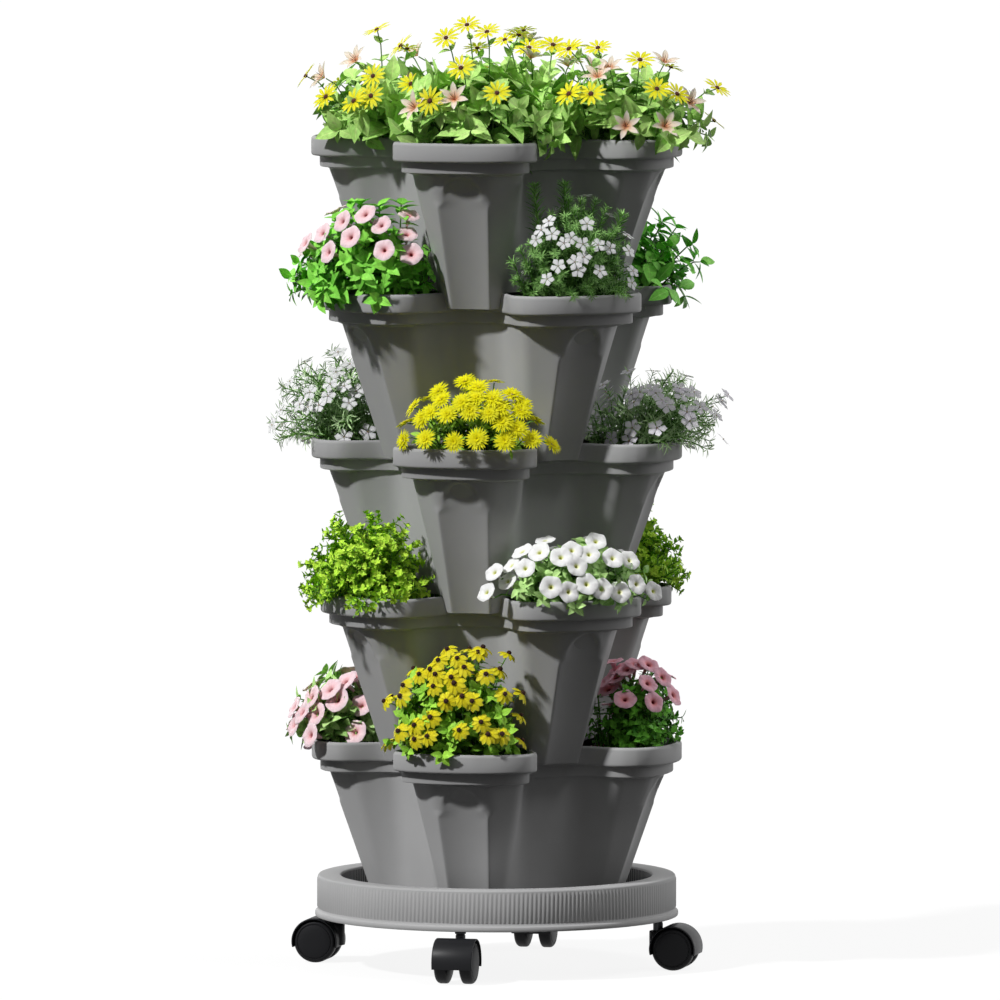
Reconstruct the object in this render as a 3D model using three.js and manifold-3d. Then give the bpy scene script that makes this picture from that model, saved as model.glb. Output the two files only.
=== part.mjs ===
// Vertical planter tower: five stacked four-pocket pots with soil and plants, on a round tray
// with four twin-wheel casters. Millimetres, +Z up, the origin on the floor at the tower's axis.
import * as THREE from "three";
import { mergeVertices } from "three/addons/utils/BufferGeometryUtils.js";
import Module from "manifold-3d";

const wasm = await Module();
wasm.setup();

// Gaps between pieces, and how far a cutting tool runs past what it cuts
const seatGap = 0.3;
const runningGap = 0.3;
const cutOverrun = 1;

// Caster: two wheels on one axle under a hood that swivels on a stem
const wheelRadius = 20;
const wheelWidth = 15;
const wheelBevel = 4;
const wheelDome = 1.2;
const wheelsApart = 8;
const axleRadius = 2.5;
const axleEndCover = 3;
const hoodGap = 0.7;
const hoodWall = 1.3;
const hoodOverhang = 0.4;
const hoodPlateGap = 0.4;
const hoodLipHeight = 14.6;
const hoodNeckHeight = 36;
const hoodNeckRadius = 8.2;
const casterTrail = 17;
const stemRadius = 4;
const stemCollarRadius = 4.7;
const spigotRadius = 2.4;
const spigotDepth = 12;
const stemSocketDepth = 28;

// Tray: a flat top ring over two walls, with the wet floor inside the inner wall
const trayBottom = 47.7;
const trayHeight = 38.5;
const trayRadius = 167.5;
const trayRecessRadius = 145.5;
const trayWall = 2.5;
const trayFloorRise = 8.4;
const trayBead = 2.6;
const trayBeadHeight = 5.4;
const socketWall = 4;
const casterInset = 13;

// Tier: one moulded pot with four pockets round its axis
const tierCount = 5;
const tierHeight = 156;
const tierWall = 2.5;
const tongueDrop = 15;
const tongueGap = 0.8;
const rimReach = 174;
const rimHalfWidth = 69;
const rimCentre = 131.5;
const rimBand = 18;
const bandStep = 8;
const secondBand = 10.5;
const bodyStep = 7;
const rimWeb = 98;
const rimWebHalf = 28;
const footReach = 112;
const footHalfWidth = 25.4;
const footCentre = 100.6;
const footWeb = 83;
const footWebHalf = 27;
const footFluteHalf = 18.4;
const bodyFluteHalf = 26;
const fluteDepth = 2.2;
const drainRadius = 4;
const drainCircle = 58;

// Soil and plants
const soilDrop = 28;
const plantLift = 0.5;
const plantClear = 2;
const plantSplitGap = 0.8;
const plugHalfWidth = 34;
const plugHalfDepth = 18;
const plugInset = 21;

// Facet counts and outline laws
const pocketCount = 4;
const wheelSides = 20;
const hoodSides = 28;
const roundSides = 12;
const holeSides = 8;
const traySides = 48;
const plantSides = 12;
const rimRoundness = 2.2;
const roundedEndDegrees = [0, 18, 38, 64, 90];
const bodyTopFluteShare = 0.35;
const halfwayHollowShare = 0.75;

// What the sizes above give
const pitch = tierHeight - tongueDrop + seatGap;
const trayTop = trayBottom + trayHeight;
const trayFloorTop = trayBottom + trayFloorRise;
const tierBase = trayFloorTop + seatGap;
const bodyTop = -(rimBand + secondBand);
const floorUnder = tongueDrop - tierHeight;
const floorTop = floorUnder + tierWall;
const casterCircle = trayRadius - casterInset;
const quarterTurn = (2 * Math.PI) / pocketCount;
const rimTopOf = (tier) => tierBase + tierHeight + (tier - 1) * pitch;
const turnOf = (tier) => (tier % 2 === 0 ? quarterTurn / 2 : 0);

const plastic = new THREE.MeshStandardMaterial({ color: 0x8b8d8e, roughness: 0.62, metalness: 0 });
const casterPlastic = new THREE.MeshStandardMaterial({ color: 0x1b1c1f, roughness: 0.4, metalness: 0 });
const wheelPlastic = new THREE.MeshStandardMaterial({ color: 0x141416, roughness: 0.55, metalness: 0 });
const steel = new THREE.MeshStandardMaterial({ color: 0x2a2b2d, roughness: 0.35, metalness: 0.8 });
const earth = new THREE.MeshStandardMaterial({ color: 0x2e231b, roughness: 0.95, metalness: 0 });

// A three.js geometry as a solid that can be joined and cut.
function solid(geometry) {
  const bare = new THREE.BufferGeometry();
  bare.setAttribute("position", geometry.getAttribute("position"));
  bare.setIndex(geometry.index);
  const merged = mergeVertices(bare, 1e-4);
  return new wasm.Manifold(
    new wasm.Mesh({
      numProp: 3,
      vertProperties: merged.attributes.position.array,
      triVerts: new Uint32Array(merged.index.array),
    }),
  );
}

function piece(name, body, material) {
  const mesh = body.getMesh();
  const geometry = new THREE.BufferGeometry();
  geometry.setAttribute("position", new THREE.BufferAttribute(mesh.vertProperties, 3));
  geometry.setIndex(new THREE.BufferAttribute(mesh.triVerts, 1));
  geometry.computeVertexNormals();
  const made = new THREE.Mesh(geometry, material);
  made.name = name;
  return made;
}

// A closed skin over rings of points that run from the lowest to the highest, with flat ends.
function loft(rings) {
  const around = rings[0].points.length;
  const corners = rings.flatMap((ring) => ring.points.flatMap((p) => [p.x, p.y, ring.z]));
  const faces = [];
  for (let level = 0; level + 1 < rings.length; level++) {
    for (let i = 0; i < around; i++) {
      const a = level * around + i;
      const b = level * around + ((i + 1) % around);
      faces.push(a, b, b + around, a, b + around, a + around);
    }
  }
  const last = (rings.length - 1) * around;
  for (const [a, b, c] of THREE.ShapeUtils.triangulateShape(rings[0].points, [])) faces.push(a, c, b);
  for (const [a, b, c] of THREE.ShapeUtils.triangulateShape(rings[rings.length - 1].points, [])) {
    faces.push(last + a, last + b, last + c);
  }
  const geometry = new THREE.BufferGeometry();
  geometry.setAttribute("position", new THREE.Float32BufferAttribute(corners, 3));
  geometry.setIndex(faces);
  return geometry;
}

// The same outline moved in by a distance, or out by a negative one.
function inset(points, distance) {
  return points.map((p, i) => {
    const before = points[(i + points.length - 1) % points.length];
    const after = points[(i + 1) % points.length];
    const u = p.clone().sub(before).normalize();
    const v = after.clone().sub(p).normalize();
    const inward = new THREE.Vector2(-u.y - v.y, u.x + v.x);
    const squared = inward.lengthSq();
    return p.clone().addScaledVector(inward, (2 * distance) / squared);
  });
}

const turned = (points, angle) => points.map((p) => p.clone().rotateAround(new THREE.Vector2(), angle));

// Half a pocket, from the middle of its outer end to the middle of the web beside it. A smooth
// outline has a rounded outer end, and a fluted one has hollow facets between two ridges.
function halfPocket(at) {
  const roundAngles = roundedEndDegrees.map(THREE.MathUtils.degToRad);
  const power = 2 / rimRoundness;
  const smooth = roundAngles.map(
    (a) =>
      new THREE.Vector2(
        at.centre + (at.reach - at.centre) * Math.abs(Math.cos(a)) ** power,
        at.halfWidth * Math.sin(a) ** power,
      ),
  );
  smooth[roundAngles.length - 1].x = at.centre;
  const ridge = new THREE.Vector2(at.reach, at.fluteHalf);
  const corner = new THREE.Vector2(at.centre, at.halfWidth);
  const along = corner.clone().sub(ridge);
  const inward = new THREE.Vector2(-along.y, along.x).normalize();
  const fluted = [
    new THREE.Vector2(at.reach - fluteDepth, 0),
    new THREE.Vector2(at.reach - fluteDepth * halfwayHollowShare, at.fluteHalf / 2),
    ridge,
    ridge.clone().add(corner).divideScalar(2).addScaledVector(inward, fluteDepth),
    corner,
  ];
  const outer = smooth.map((p, i) => p.clone().lerp(fluted[i], at.fluted));
  const diagonal = Math.SQRT1_2;
  const crease = new THREE.Vector2((at.web + at.webHalf) * diagonal, (at.web - at.webHalf) * diagonal);
  return [...outer, crease, new THREE.Vector2(at.web * diagonal, at.web * diagonal)];
}

// The whole outline, anticlockwise: each half pocket and its mirror image, four times.
function outline(at) {
  const half = halfPocket(at);
  const mirrored = half.slice(1).map((p) => new THREE.Vector2(p.x, -p.y));
  const pocket = [...mirrored.reverse(), ...half.slice(0, -1)];
  const quarters = Array.from({ length: pocketCount }, (_, q) => turned(pocket, q * quarterTurn));
  return quarters.flat();
}

// The pot's section at a height below its rim's top.
const rimSection = {
  reach: rimReach,
  halfWidth: rimHalfWidth,
  centre: rimCentre,
  web: rimWeb,
  webHalf: rimWebHalf,
  fluteHalf: bodyFluteHalf,
  fluted: 0,
};
const secondSection = {
  ...rimSection,
  reach: rimReach - bandStep,
  halfWidth: rimHalfWidth - bandStep,
  web: rimWeb - bandStep / 2,
};
const bodyTopSection = {
  ...rimSection,
  reach: rimReach - bandStep - bodyStep,
  halfWidth: rimHalfWidth - bandStep - bodyStep,
  centre: rimCentre - bodyStep / 2,
  web: rimWeb - bandStep / 2 - bodyStep / 2,
  webHalf: rimWebHalf,
  fluted: bodyTopFluteShare,
};
const footSection = {
  reach: footReach,
  halfWidth: footHalfWidth,
  centre: footCentre,
  web: footWeb,
  webHalf: footWebHalf,
  fluteHalf: footFluteHalf,
  fluted: 1,
};

const ring = (z, section, distance = 0) => ({ z, points: inset(outline(section), distance) });
const insetRing = ({ z, points }, distance) => ({ z, points: inset(points, distance) });

// The ring at a height on the straight wall between two rings.
function between(lower, upper, z) {
  const share = (z - lower.z) / (upper.z - lower.z);
  return { z, points: lower.points.map((p, i) => p.clone().lerp(upper.points[i], share)) };
}

const bodyRing = (z) => between(ring(-tierHeight, footSection), ring(bodyTop, bodyTopSection), z);
const cavityFoot = insetRing(bodyRing(floorTop), tierWall);
const cavityTop = ring(bodyTop + tierWall, bodyTopSection, tierWall);

// The space that a pot fills, grown by a margin: plants keep clear of it.
function potEnvelope(margin) {
  return solid(
    loft([
      ring(-tierHeight - margin, footSection, -margin),
      ring(bodyTop, bodyTopSection, -margin),
      ring(bodyTop, secondSection, -margin),
      ring(-rimBand, secondSection, -margin),
      ring(-rimBand, rimSection, -margin),
      ring(0, rimSection, -margin),
    ]),
  );
}

// A pot is an open shell with a floor on the rim of the pot below. Under each pocket a hollow
// tongue hangs outside the web of that rim and keeps the two pots an eighth of a turn apart.
function pot() {
  const outside = potEnvelope(0);
  const inside = solid(
    loft([
      cavityFoot,
      cavityTop,
      ring(-rimBand + tierWall, secondSection, tierWall),
      ring(-rimBand + tierWall, rimSection, tierWall),
      ring(cutOverrun, rimSection, tierWall),
    ]),
  );
  const underFloor = solid(
    loft([
      insetRing(bodyRing(-tierHeight - cutOverrun), tierWall),
      insetRing(bodyRing(floorUnder), tierWall),
    ]),
  );
  const lowerRim = turned(inset(outline(rimSection), -tongueGap), quarterTurn / 2);
  const overWeb = solid(
    loft([
      { z: -tierHeight - cutOverrun, points: lowerRim },
      { z: floorUnder, points: lowerRim },
    ]),
  );
  let made = outside.subtract(inside).subtract(underFloor).subtract(overWeb);
  for (let i = 0; i <= pocketCount; i++) {
    const hole = new THREE.CylinderGeometry(drainRadius, drainRadius, tierWall + 2 * cutOverrun, holeSides);
    hole.rotateX(Math.PI / 2);
    const away = i < pocketCount ? drainCircle : 0;
    hole.translate(
      away * Math.cos(i * quarterTurn),
      away * Math.sin(i * quarterTurn),
      floorUnder + tierWall / 2,
    );
    made = made.subtract(solid(hole));
  }
  return made;
}

// The potting soil fills a pot from its floor to just under the second band.
function soil() {
  return solid(
    loft([
      insetRing(between(cavityFoot, cavityTop, floorTop + seatGap), seatGap),
      insetRing(between(cavityFoot, cavityTop, -soilDrop), seatGap),
    ]),
  );
}

// One ring of a plant: an oval across a pocket that points along +X.
function oval(centre, halfDepth, halfWidth) {
  return Array.from({ length: plantSides }, (_, i) => {
    const angle = (2 * Math.PI * (i + 0.5)) / plantSides;
    return new THREE.Vector2(centre + halfDepth * Math.cos(angle), halfWidth * Math.sin(angle));
  });
}

// A plant stands in the soil of its pocket and spreads over the rim as a rounded mound.
function plant(shares, innerReach) {
  const heightShares = [0, 0.3, 0.72, 1];
  const widthShares = [0.84, 1, 0.84, 0.36];
  const height = pitch * shares.height;
  const halfWidth = rimHalfWidth * shares.halfWidth;
  const outerReach = rimReach * shares.reach;
  const centre = (innerReach + outerReach) / 2;
  const halfDepth = (outerReach - innerReach) / 2;
  const plugOuter = rimReach - bandStep - bodyStep - plugInset;
  const plug = oval(plugOuter - plugHalfDepth, plugHalfDepth, plugHalfWidth);
  const rings = [
    { z: -soilDrop + seatGap, points: plug },
    { z: plantLift, points: plug },
  ];
  heightShares.forEach((share, i) => {
    const points = oval(centre, halfDepth * widthShares[i], halfWidth * widthShares[i]);
    for (const p of points) p.y += rimHalfWidth * shares.shift;
    rings.push({ z: plantLift + (height - plantLift) * share, points });
  });
  return solid(loft(rings));
}

// What a plant on the top pot may fill: the quarter round its own pocket.
function quarterWedge(high) {
  const far = 2 * rimReach;
  const corner = plantSplitGap * Math.SQRT1_2;
  const points = [
    new THREE.Vector2(corner, 0),
    new THREE.Vector2(corner + far, -far),
    new THREE.Vector2(corner + far, far),
  ];
  return solid(
    loft([
      { z: -tierHeight, points },
      { z: high, points },
    ]),
  );
}

// The pockets of the odd pots face along the axes, and those of the even pots lie between.
const oddPockets = ["right", "back", "left", "front"];
const evenPockets = ["right_back", "left_back", "left_front", "right_front"];

// Plants by pot and pocket: how tall each mound is as a share of the space between two rims, its
// half width as a share of the rim's, and how far out it goes as a share of the rim's reach. The
// shift, a share of the rim's half width, moves it along the rim, anticlockwise seen from above.
const mound = (height, halfWidth, reach, color, shift = 0) => ({ height, halfWidth, reach, color, shift });
const pink = 0xd98fa0;
const white = 0xe4e4e8;
const lilac = 0xbfb4cf;
const yellow = 0xd8c21e;
const leafGreen = 0x3f7a2a;
const limeGreen = 0x7fae2a;
const plantShares = [
  {
    right: mound(0.59, 0.9, 1.07, pink),
    back: mound(0.57, 0.96, 1.09, yellow),
    left: mound(0.52, 0.87, 1.17, pink),
    front: mound(0.74, 1.07, 1.09, yellow, -0.15),
  },
  {
    right_back: mound(0.54, 0.96, 1.1, limeGreen),
    left_back: mound(0.54, 0.96, 1.1, white),
    left_front: mound(0.58, 1.01, 1.15, limeGreen),
    right_front: mound(0.44, 1.25, 1.13, white),
  },
  {
    right: mound(0.52, 0.96, 1.29, lilac),
    back: mound(0.51, 0.99, 1.09, yellow),
    left: mound(0.64, 0.9, 1.29, lilac),
    front: mound(0.48, 1.09, 1.09, yellow, 0.15),
  },
  {
    right_back: mound(0.58, 0.99, 1.17, leafGreen),
    left_back: mound(0.58, 0.96, 1.15, pink),
    left_front: mound(0.64, 1.16, 1.2, pink),
    right_front: mound(0.74, 0.96, 1.09, lilac),
  },
  {
    right: mound(0.71, 1.5, 1.23, yellow),
    back: mound(0.71, 1.5, 1.09, yellow),
    left: mound(0.76, 1.5, 1.09, yellow),
    front: mound(0.83, 1.5, 1.08, yellow),
  },
];

// The tray is a turned ring with a floor. Under its top ring hang four sockets for the stems.
function tray() {
  const flangeUnder = trayTop - trayWall;
  const recessWallOut = trayRecessRadius + trayWall;
  const outerWallIn = trayRadius - trayWall;
  const profile = [
    new THREE.Vector2(0, trayFloorTop - trayWall),
    new THREE.Vector2(recessWallOut, trayFloorTop - trayWall),
    new THREE.Vector2(recessWallOut, flangeUnder),
    new THREE.Vector2(outerWallIn, flangeUnder),
    new THREE.Vector2(outerWallIn, trayBottom),
    new THREE.Vector2(trayRadius + trayBead, trayBottom),
    new THREE.Vector2(trayRadius + trayBead, trayBottom + trayBeadHeight),
    new THREE.Vector2(trayRadius, trayBottom + trayBeadHeight),
    new THREE.Vector2(trayRadius, trayTop),
    new THREE.Vector2(trayRecessRadius, trayTop),
    new THREE.Vector2(trayRecessRadius, trayFloorTop),
    new THREE.Vector2(0, trayFloorTop),
  ];
  const turnedRing = new THREE.LatheGeometry(profile, traySides);
  turnedRing.rotateX(Math.PI / 2);
  let made = solid(turnedRing);
  const socketRadius = stemRadius + runningGap + socketWall;
  const socketLength = flangeUnder + trayWall / 2 - trayBottom;
  const boreLength = stemSocketDepth + runningGap + cutOverrun;
  for (let i = 0; i < pocketCount; i++) {
    const x = casterCircle * Math.cos(i * quarterTurn);
    const y = casterCircle * Math.sin(i * quarterTurn);
    const boss = new THREE.CylinderGeometry(socketRadius, socketRadius, socketLength, roundSides);
    boss.rotateX(Math.PI / 2);
    boss.translate(x, y, trayBottom + socketLength / 2);
    const boreRadius = stemRadius + runningGap;
    const bore = new THREE.CylinderGeometry(boreRadius, boreRadius, boreLength, roundSides);
    bore.rotateX(Math.PI / 2);
    bore.translate(x, y, trayBottom - cutOverrun + boreLength / 2);
    made = made.add(solid(boss)).subtract(solid(bore));
  }
  return made;
}

// Each caster is made about its stem's axis, trailing along +X, with its axle along Y.
const wheelInner = wheelsApart / 2;
const wheelOuter = wheelInner + wheelWidth;
const axleHalf = wheelOuter - axleEndCover;
const hoodInner = wheelRadius + hoodGap;
const hoodOuter = hoodInner + hoodWall;
const hoodHalf = wheelOuter + hoodOverhang;
const plateHalf = wheelInner - hoodPlateGap;

function stem() {
  const collarTop = trayBottom - seatGap;
  const collarFoot = hoodNeckHeight + seatGap;
  const profile = [
    new THREE.Vector2(0, hoodNeckHeight - spigotDepth),
    new THREE.Vector2(spigotRadius, hoodNeckHeight - spigotDepth),
    new THREE.Vector2(spigotRadius, collarFoot),
    new THREE.Vector2(stemCollarRadius, collarFoot),
    new THREE.Vector2(stemCollarRadius, collarTop),
    new THREE.Vector2(stemRadius, collarTop),
    new THREE.Vector2(stemRadius, trayBottom + stemSocketDepth),
    new THREE.Vector2(0, trayBottom + stemSocketDepth),
  ];
  const pin = new THREE.LatheGeometry(profile, roundSides);
  pin.rotateX(Math.PI / 2);
  return solid(pin);
}

function roundAlongY(radius, from, to, sides) {
  const made = new THREE.CylinderGeometry(radius, radius, to - from, sides);
  made.translate(0, (from + to) / 2, 0);
  return made;
}

function axle() {
  const pin = roundAlongY(axleRadius, -axleHalf, axleHalf, roundSides);
  pin.translate(casterTrail, 0, wheelRadius);
  return solid(pin);
}

// A wheel with a flat of its tread on the floor, a bevel on each edge and a domed outer face.
function wheel(side) {
  const treadRadius = wheelRadius / Math.cos(Math.PI / wheelSides);
  const boreRadius = axleRadius + runningGap;
  const profile = [
    new THREE.Vector2(0, axleHalf + runningGap),
    new THREE.Vector2(boreRadius, axleHalf + runningGap),
    new THREE.Vector2(boreRadius, wheelInner),
    new THREE.Vector2(treadRadius - 2 * wheelBevel, wheelInner),
    new THREE.Vector2(treadRadius, wheelInner + wheelBevel),
    new THREE.Vector2(treadRadius, wheelOuter - wheelBevel),
    new THREE.Vector2(treadRadius - wheelBevel / 2, wheelOuter - wheelDome),
    new THREE.Vector2(0, wheelOuter),
  ];
  const halfFacet = Math.PI / wheelSides;
  const shape = new THREE.LatheGeometry(profile, wheelSides, halfFacet);
  if (side < 0) shape.rotateX(Math.PI);
  shape.translate(casterTrail, 0, wheelRadius);
  return solid(shape);
}

// The hood covers both wheels, with a plate between them and a neck round the stem.
function hood() {
  const cover = roundAlongY(hoodOuter, -hoodHalf, hoodHalf, hoodSides);
  cover.translate(casterTrail, 0, wheelRadius);
  const neckFoot = wheelRadius - hoodNeckRadius / 2;
  const neckLength = hoodNeckHeight - neckFoot;
  const neck = new THREE.CylinderGeometry(hoodNeckRadius, hoodNeckRadius, neckLength, roundSides);
  neck.rotateX(Math.PI / 2);
  neck.translate(0, 0, neckFoot + neckLength / 2);
  const saddleShape = new THREE.Shape([
    new THREE.Vector2(0, wheelRadius),
    new THREE.Vector2(casterTrail, wheelRadius),
    new THREE.Vector2(casterTrail, wheelRadius + hoodOuter - hoodWall / 2),
    new THREE.Vector2(0, hoodNeckHeight),
  ]);
  const saddle = new THREE.ExtrudeGeometry(saddleShape, { depth: 2 * hoodNeckRadius, bevelEnabled: false });
  saddle.rotateX(Math.PI / 2);
  saddle.translate(0, hoodNeckRadius, 0);
  const below = new THREE.BoxGeometry(4 * hoodOuter, 4 * hoodOuter, 2 * hoodOuter);
  below.translate(casterTrail, 0, hoodLipHeight - hoodOuter);
  const spigotBore = new THREE.CylinderGeometry(
    spigotRadius + runningGap,
    spigotRadius + runningGap,
    spigotDepth + runningGap + cutOverrun,
    roundSides,
  );
  spigotBore.rotateX(Math.PI / 2);
  spigotBore.translate(0, 0, hoodNeckHeight + (cutOverrun - spigotDepth - runningGap) / 2);
  const collarSeat = new THREE.CylinderGeometry(
    stemCollarRadius + runningGap,
    stemCollarRadius + runningGap,
    hoodNeckHeight,
    roundSides,
  );
  collarSeat.rotateX(Math.PI / 2);
  collarSeat.translate(0, 0, hoodNeckHeight + hoodNeckHeight / 2);
  const axleBore = roundAlongY(axleRadius + runningGap, -hoodHalf, hoodHalf, roundSides);
  axleBore.translate(casterTrail, 0, wheelRadius);
  let made = solid(cover).add(solid(neck)).add(solid(saddle)).subtract(solid(below));
  for (const side of [-1, 1]) {
    const ends = [side * plateHalf, side * (hoodHalf + cutOverrun)];
    const well = roundAlongY(hoodInner, Math.min(...ends), Math.max(...ends), hoodSides);
    well.translate(casterTrail, 0, wheelRadius);
    made = made.subtract(solid(well));
  }
  return made.subtract(solid(spigotBore)).subtract(solid(collarSeat)).subtract(solid(axleBore));
}

// The tower, from the floor up.
const tower = new THREE.Group();
tower.name = "planter_tower";
tower.add(piece("tray", tray(), plastic));

oddPockets.forEach((place, i) => {
  const caster = new THREE.Group();
  caster.position.set(casterCircle * Math.cos(i * quarterTurn), casterCircle * Math.sin(i * quarterTurn), 0);
  caster.rotation.z = i * quarterTurn;
  caster.add(piece(`caster_${place}_stem`, stem(), steel));
  caster.add(piece(`caster_${place}_hood`, hood(), casterPlastic));
  caster.add(piece(`caster_${place}_axle`, axle(), steel));
  caster.add(piece(`caster_${place}_wheel_a`, wheel(1), wheelPlastic));
  caster.add(piece(`caster_${place}_wheel_b`, wheel(-1), wheelPlastic));
  tower.add(caster);
});

const potBody = pot();
const soilBody = soil();
const nextPot = potEnvelope(plantClear)
  .rotate([0, 0, THREE.MathUtils.radToDeg(quarterTurn / 2)])
  .translate([0, 0, pitch]);
for (let tier = 1; tier <= tierCount; tier++) {
  const group = new THREE.Group();
  group.position.z = rimTopOf(tier);
  group.rotation.z = turnOf(tier);
  group.add(piece(`tier_${tier}_pot`, potBody, plastic));
  group.add(piece(`tier_${tier}_soil`, soilBody, earth));
  const pockets = tier % 2 === 0 ? evenPockets : oddPockets;
  pockets.forEach((place, i) => {
    const shares = plantShares[tier - 1][place];
    const foliage = new THREE.MeshStandardMaterial({ color: shares.color, roughness: 0.8, metalness: 0 });
    let body = plant(shares, tier === tierCount ? plantSplitGap : rimWeb - plantClear);
    if (tier === tierCount) body = body.intersect(quarterWedge(2 * pitch));
    else body = body.subtract(nextPot.rotate([0, 0, THREE.MathUtils.radToDeg(-i * quarterTurn)]));
    const mesh = piece(`plant_${tier}_${place}`, body, foliage);
    mesh.rotation.z = i * quarterTurn;
    group.add(mesh);
  });
  tower.add(group);
}

export default tower;
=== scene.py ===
# Vertical planter tower: the looks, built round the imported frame. Metres, +Z up, the origin on the
# floor under the middle of the tower. Pieces follow in the order in which the tower is put together.
import math
import random

import bmesh
import bpy
import numpy as np
from mathutils import Matrix, Vector, noise


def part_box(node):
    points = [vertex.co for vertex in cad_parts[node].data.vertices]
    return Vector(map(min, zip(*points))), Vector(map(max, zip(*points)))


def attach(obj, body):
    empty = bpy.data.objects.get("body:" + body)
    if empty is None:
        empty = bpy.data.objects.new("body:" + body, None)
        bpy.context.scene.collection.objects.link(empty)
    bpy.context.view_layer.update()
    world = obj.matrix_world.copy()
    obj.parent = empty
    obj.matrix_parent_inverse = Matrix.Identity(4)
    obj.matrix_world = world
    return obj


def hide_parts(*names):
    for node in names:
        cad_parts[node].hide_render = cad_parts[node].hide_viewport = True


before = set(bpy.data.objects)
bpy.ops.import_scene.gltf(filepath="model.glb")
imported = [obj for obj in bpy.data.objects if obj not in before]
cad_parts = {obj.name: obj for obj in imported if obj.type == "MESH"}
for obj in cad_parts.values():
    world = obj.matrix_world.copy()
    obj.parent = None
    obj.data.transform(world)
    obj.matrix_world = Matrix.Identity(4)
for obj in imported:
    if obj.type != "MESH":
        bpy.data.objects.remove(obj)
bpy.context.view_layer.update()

# Camera: the photograph is taken from far off through a long lens, a little above the tower's
# middle and turned towards its right side.
view_turn = math.radians(12.52)
view_distance = 13.025
view_height = 1.346
aim_height = 0.4369
lens_mm = 502.7
sideways_shift = 0.00335


def linked(name, data):
    made = bpy.data.objects.new(name, data)
    bpy.context.scene.collection.objects.link(made)
    return made


camera_data = bpy.data.cameras.new("camera")
camera_data.lens = lens_mm
camera_data.shift_x = sideways_shift
camera = linked("camera", camera_data)
camera.location = (view_distance * math.sin(view_turn), -view_distance * math.cos(view_turn), view_height)
line_of_sight = Vector((0, 0, aim_height)) - camera.location
camera.rotation_euler = line_of_sight.to_track_quat("-Z", "Y").to_euler()
bpy.context.scene.camera = camera
bpy.context.scene.view_settings.view_transform = "Standard"

# Light: a high lamp on the front left, a softer one higher up on the right and two low ones behind that
# lighten the edges, in an even pale room. The camera sees the room and the floor as white, and the floor
# keeps the tower's soft shadow.
room_strength = 0.15
floor_half = 30
floor_glow = 1.05
floor_shade = 0.15
floor_grey, floor_seen_grey = 0.03, 0.86
lamps = [
    # name, bearing and height in degrees, strength, spread in degrees
    ("key_lamp", -42, 42, 3.0, 4),
    ("high_lamp", 70, 62, 0.65, 20),
    ("right_edge_lamp", 125, 12, 0.9, 30),
    ("left_edge_lamp", -135, 10, 0.45, 30),
]
for name, bearing, height, strength, spread in lamps:
    lamp_data = bpy.data.lights.new(name, "SUN")
    lamp_data.energy = strength
    lamp_data.angle = math.radians(spread)
    turn = math.radians(bearing)
    level = math.cos(math.radians(height))
    lamp_way = Vector((-math.sin(turn) * level, math.cos(turn) * level, -math.sin(math.radians(height))))
    linked(name, lamp_data).rotation_euler = lamp_way.to_track_quat("-Z", "Y").to_euler()


def node(tree, kind, **values):
    """A shader node, new or already there, with its settings. A socket, in_ and its name or number, takes
    a value, or a node or an output that feeds it."""
    made = tree.nodes.get(kind) or tree.nodes.new(kind)
    for key, value in values.items():
        if not key.startswith("in_"):
            setattr(made, key, value)
            continue
        key = key[3:]
        socket = made.inputs[int(key) if key.isdigit() else key.replace("_", " ")]
        if isinstance(value, bpy.types.Node):
            value = value.outputs[2 if value.bl_idname == "ShaderNodeMix" else 0]
        if isinstance(value, bpy.types.NodeSocket):
            tree.links.new(value, socket)
        else:
            socket.default_value = value
    return made


def worked_out(tree, operation, *terms):
    terms = {f"in_{i}": term for i, term in enumerate(terms)}
    return node(tree, "ShaderNodeMath", operation=operation, **terms)


def for_background(tree, light, seen):
    """One shader for the light in the room, and another for what the camera, gloss and glass see."""
    rays = node(tree, "ShaderNodeLightPath").outputs
    shine = worked_out(tree, "MAXIMUM", rays["Is Glossy Ray"], rays["Is Transmission Ray"])
    shows = worked_out(tree, "MAXIMUM", rays["Is Camera Ray"], shine)
    return node(tree, "ShaderNodeMixShader", in_0=shows, in_1=light, in_2=seen)


def grey(level):
    return level, level, level, 1


room = bpy.data.worlds.new("pale_room")
room.use_nodes = True
room_tree = room.node_tree
room_tree.nodes.clear()
room_light = node(room_tree, "ShaderNodeBackground", in_Color=grey(1), in_Strength=room_strength)
room_seen = node(room_tree, "ShaderNodeBackground", in_Color=grey(1), in_Strength=1.0)
node(room_tree, "ShaderNodeOutputWorld", in_Surface=for_background(room_tree, room_light, room_seen))
bpy.context.scene.world = room


def material(name):
    made = bpy.data.materials.new(name)
    made.use_nodes = True
    return made, made.node_tree


def meshed(name, bm):
    """A bmesh as a mesh with outward faces."""
    bmesh.ops.recalc_face_normals(bm, faces=bm.faces)
    mesh = bpy.data.meshes.new(name)
    bm.to_mesh(mesh)
    bm.free()
    return mesh


pale_floor, floor_tree = material("pale_floor")
floor_tree.nodes.clear()
floor_matte = node(floor_tree, "ShaderNodeBsdfDiffuse", in_Color=grey(floor_grey))
floor_pale = node(floor_tree, "ShaderNodeBsdfDiffuse", in_Color=grey(floor_seen_grey))
floor_white = node(floor_tree, "ShaderNodeEmission", in_Strength=floor_glow)
floor_seen = node(floor_tree, "ShaderNodeMixShader", in_0=floor_shade, in_1=floor_white, in_2=floor_pale)
node(floor_tree, "ShaderNodeOutputMaterial", in_Surface=for_background(floor_tree, floor_matte, floor_seen))
floor_bm = bmesh.new()
bmesh.ops.create_grid(floor_bm, x_segments=1, y_segments=1, size=floor_half)
floor = linked("floor", meshed("floor", floor_bm))
floor.data.materials.append(pale_floor)

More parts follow.
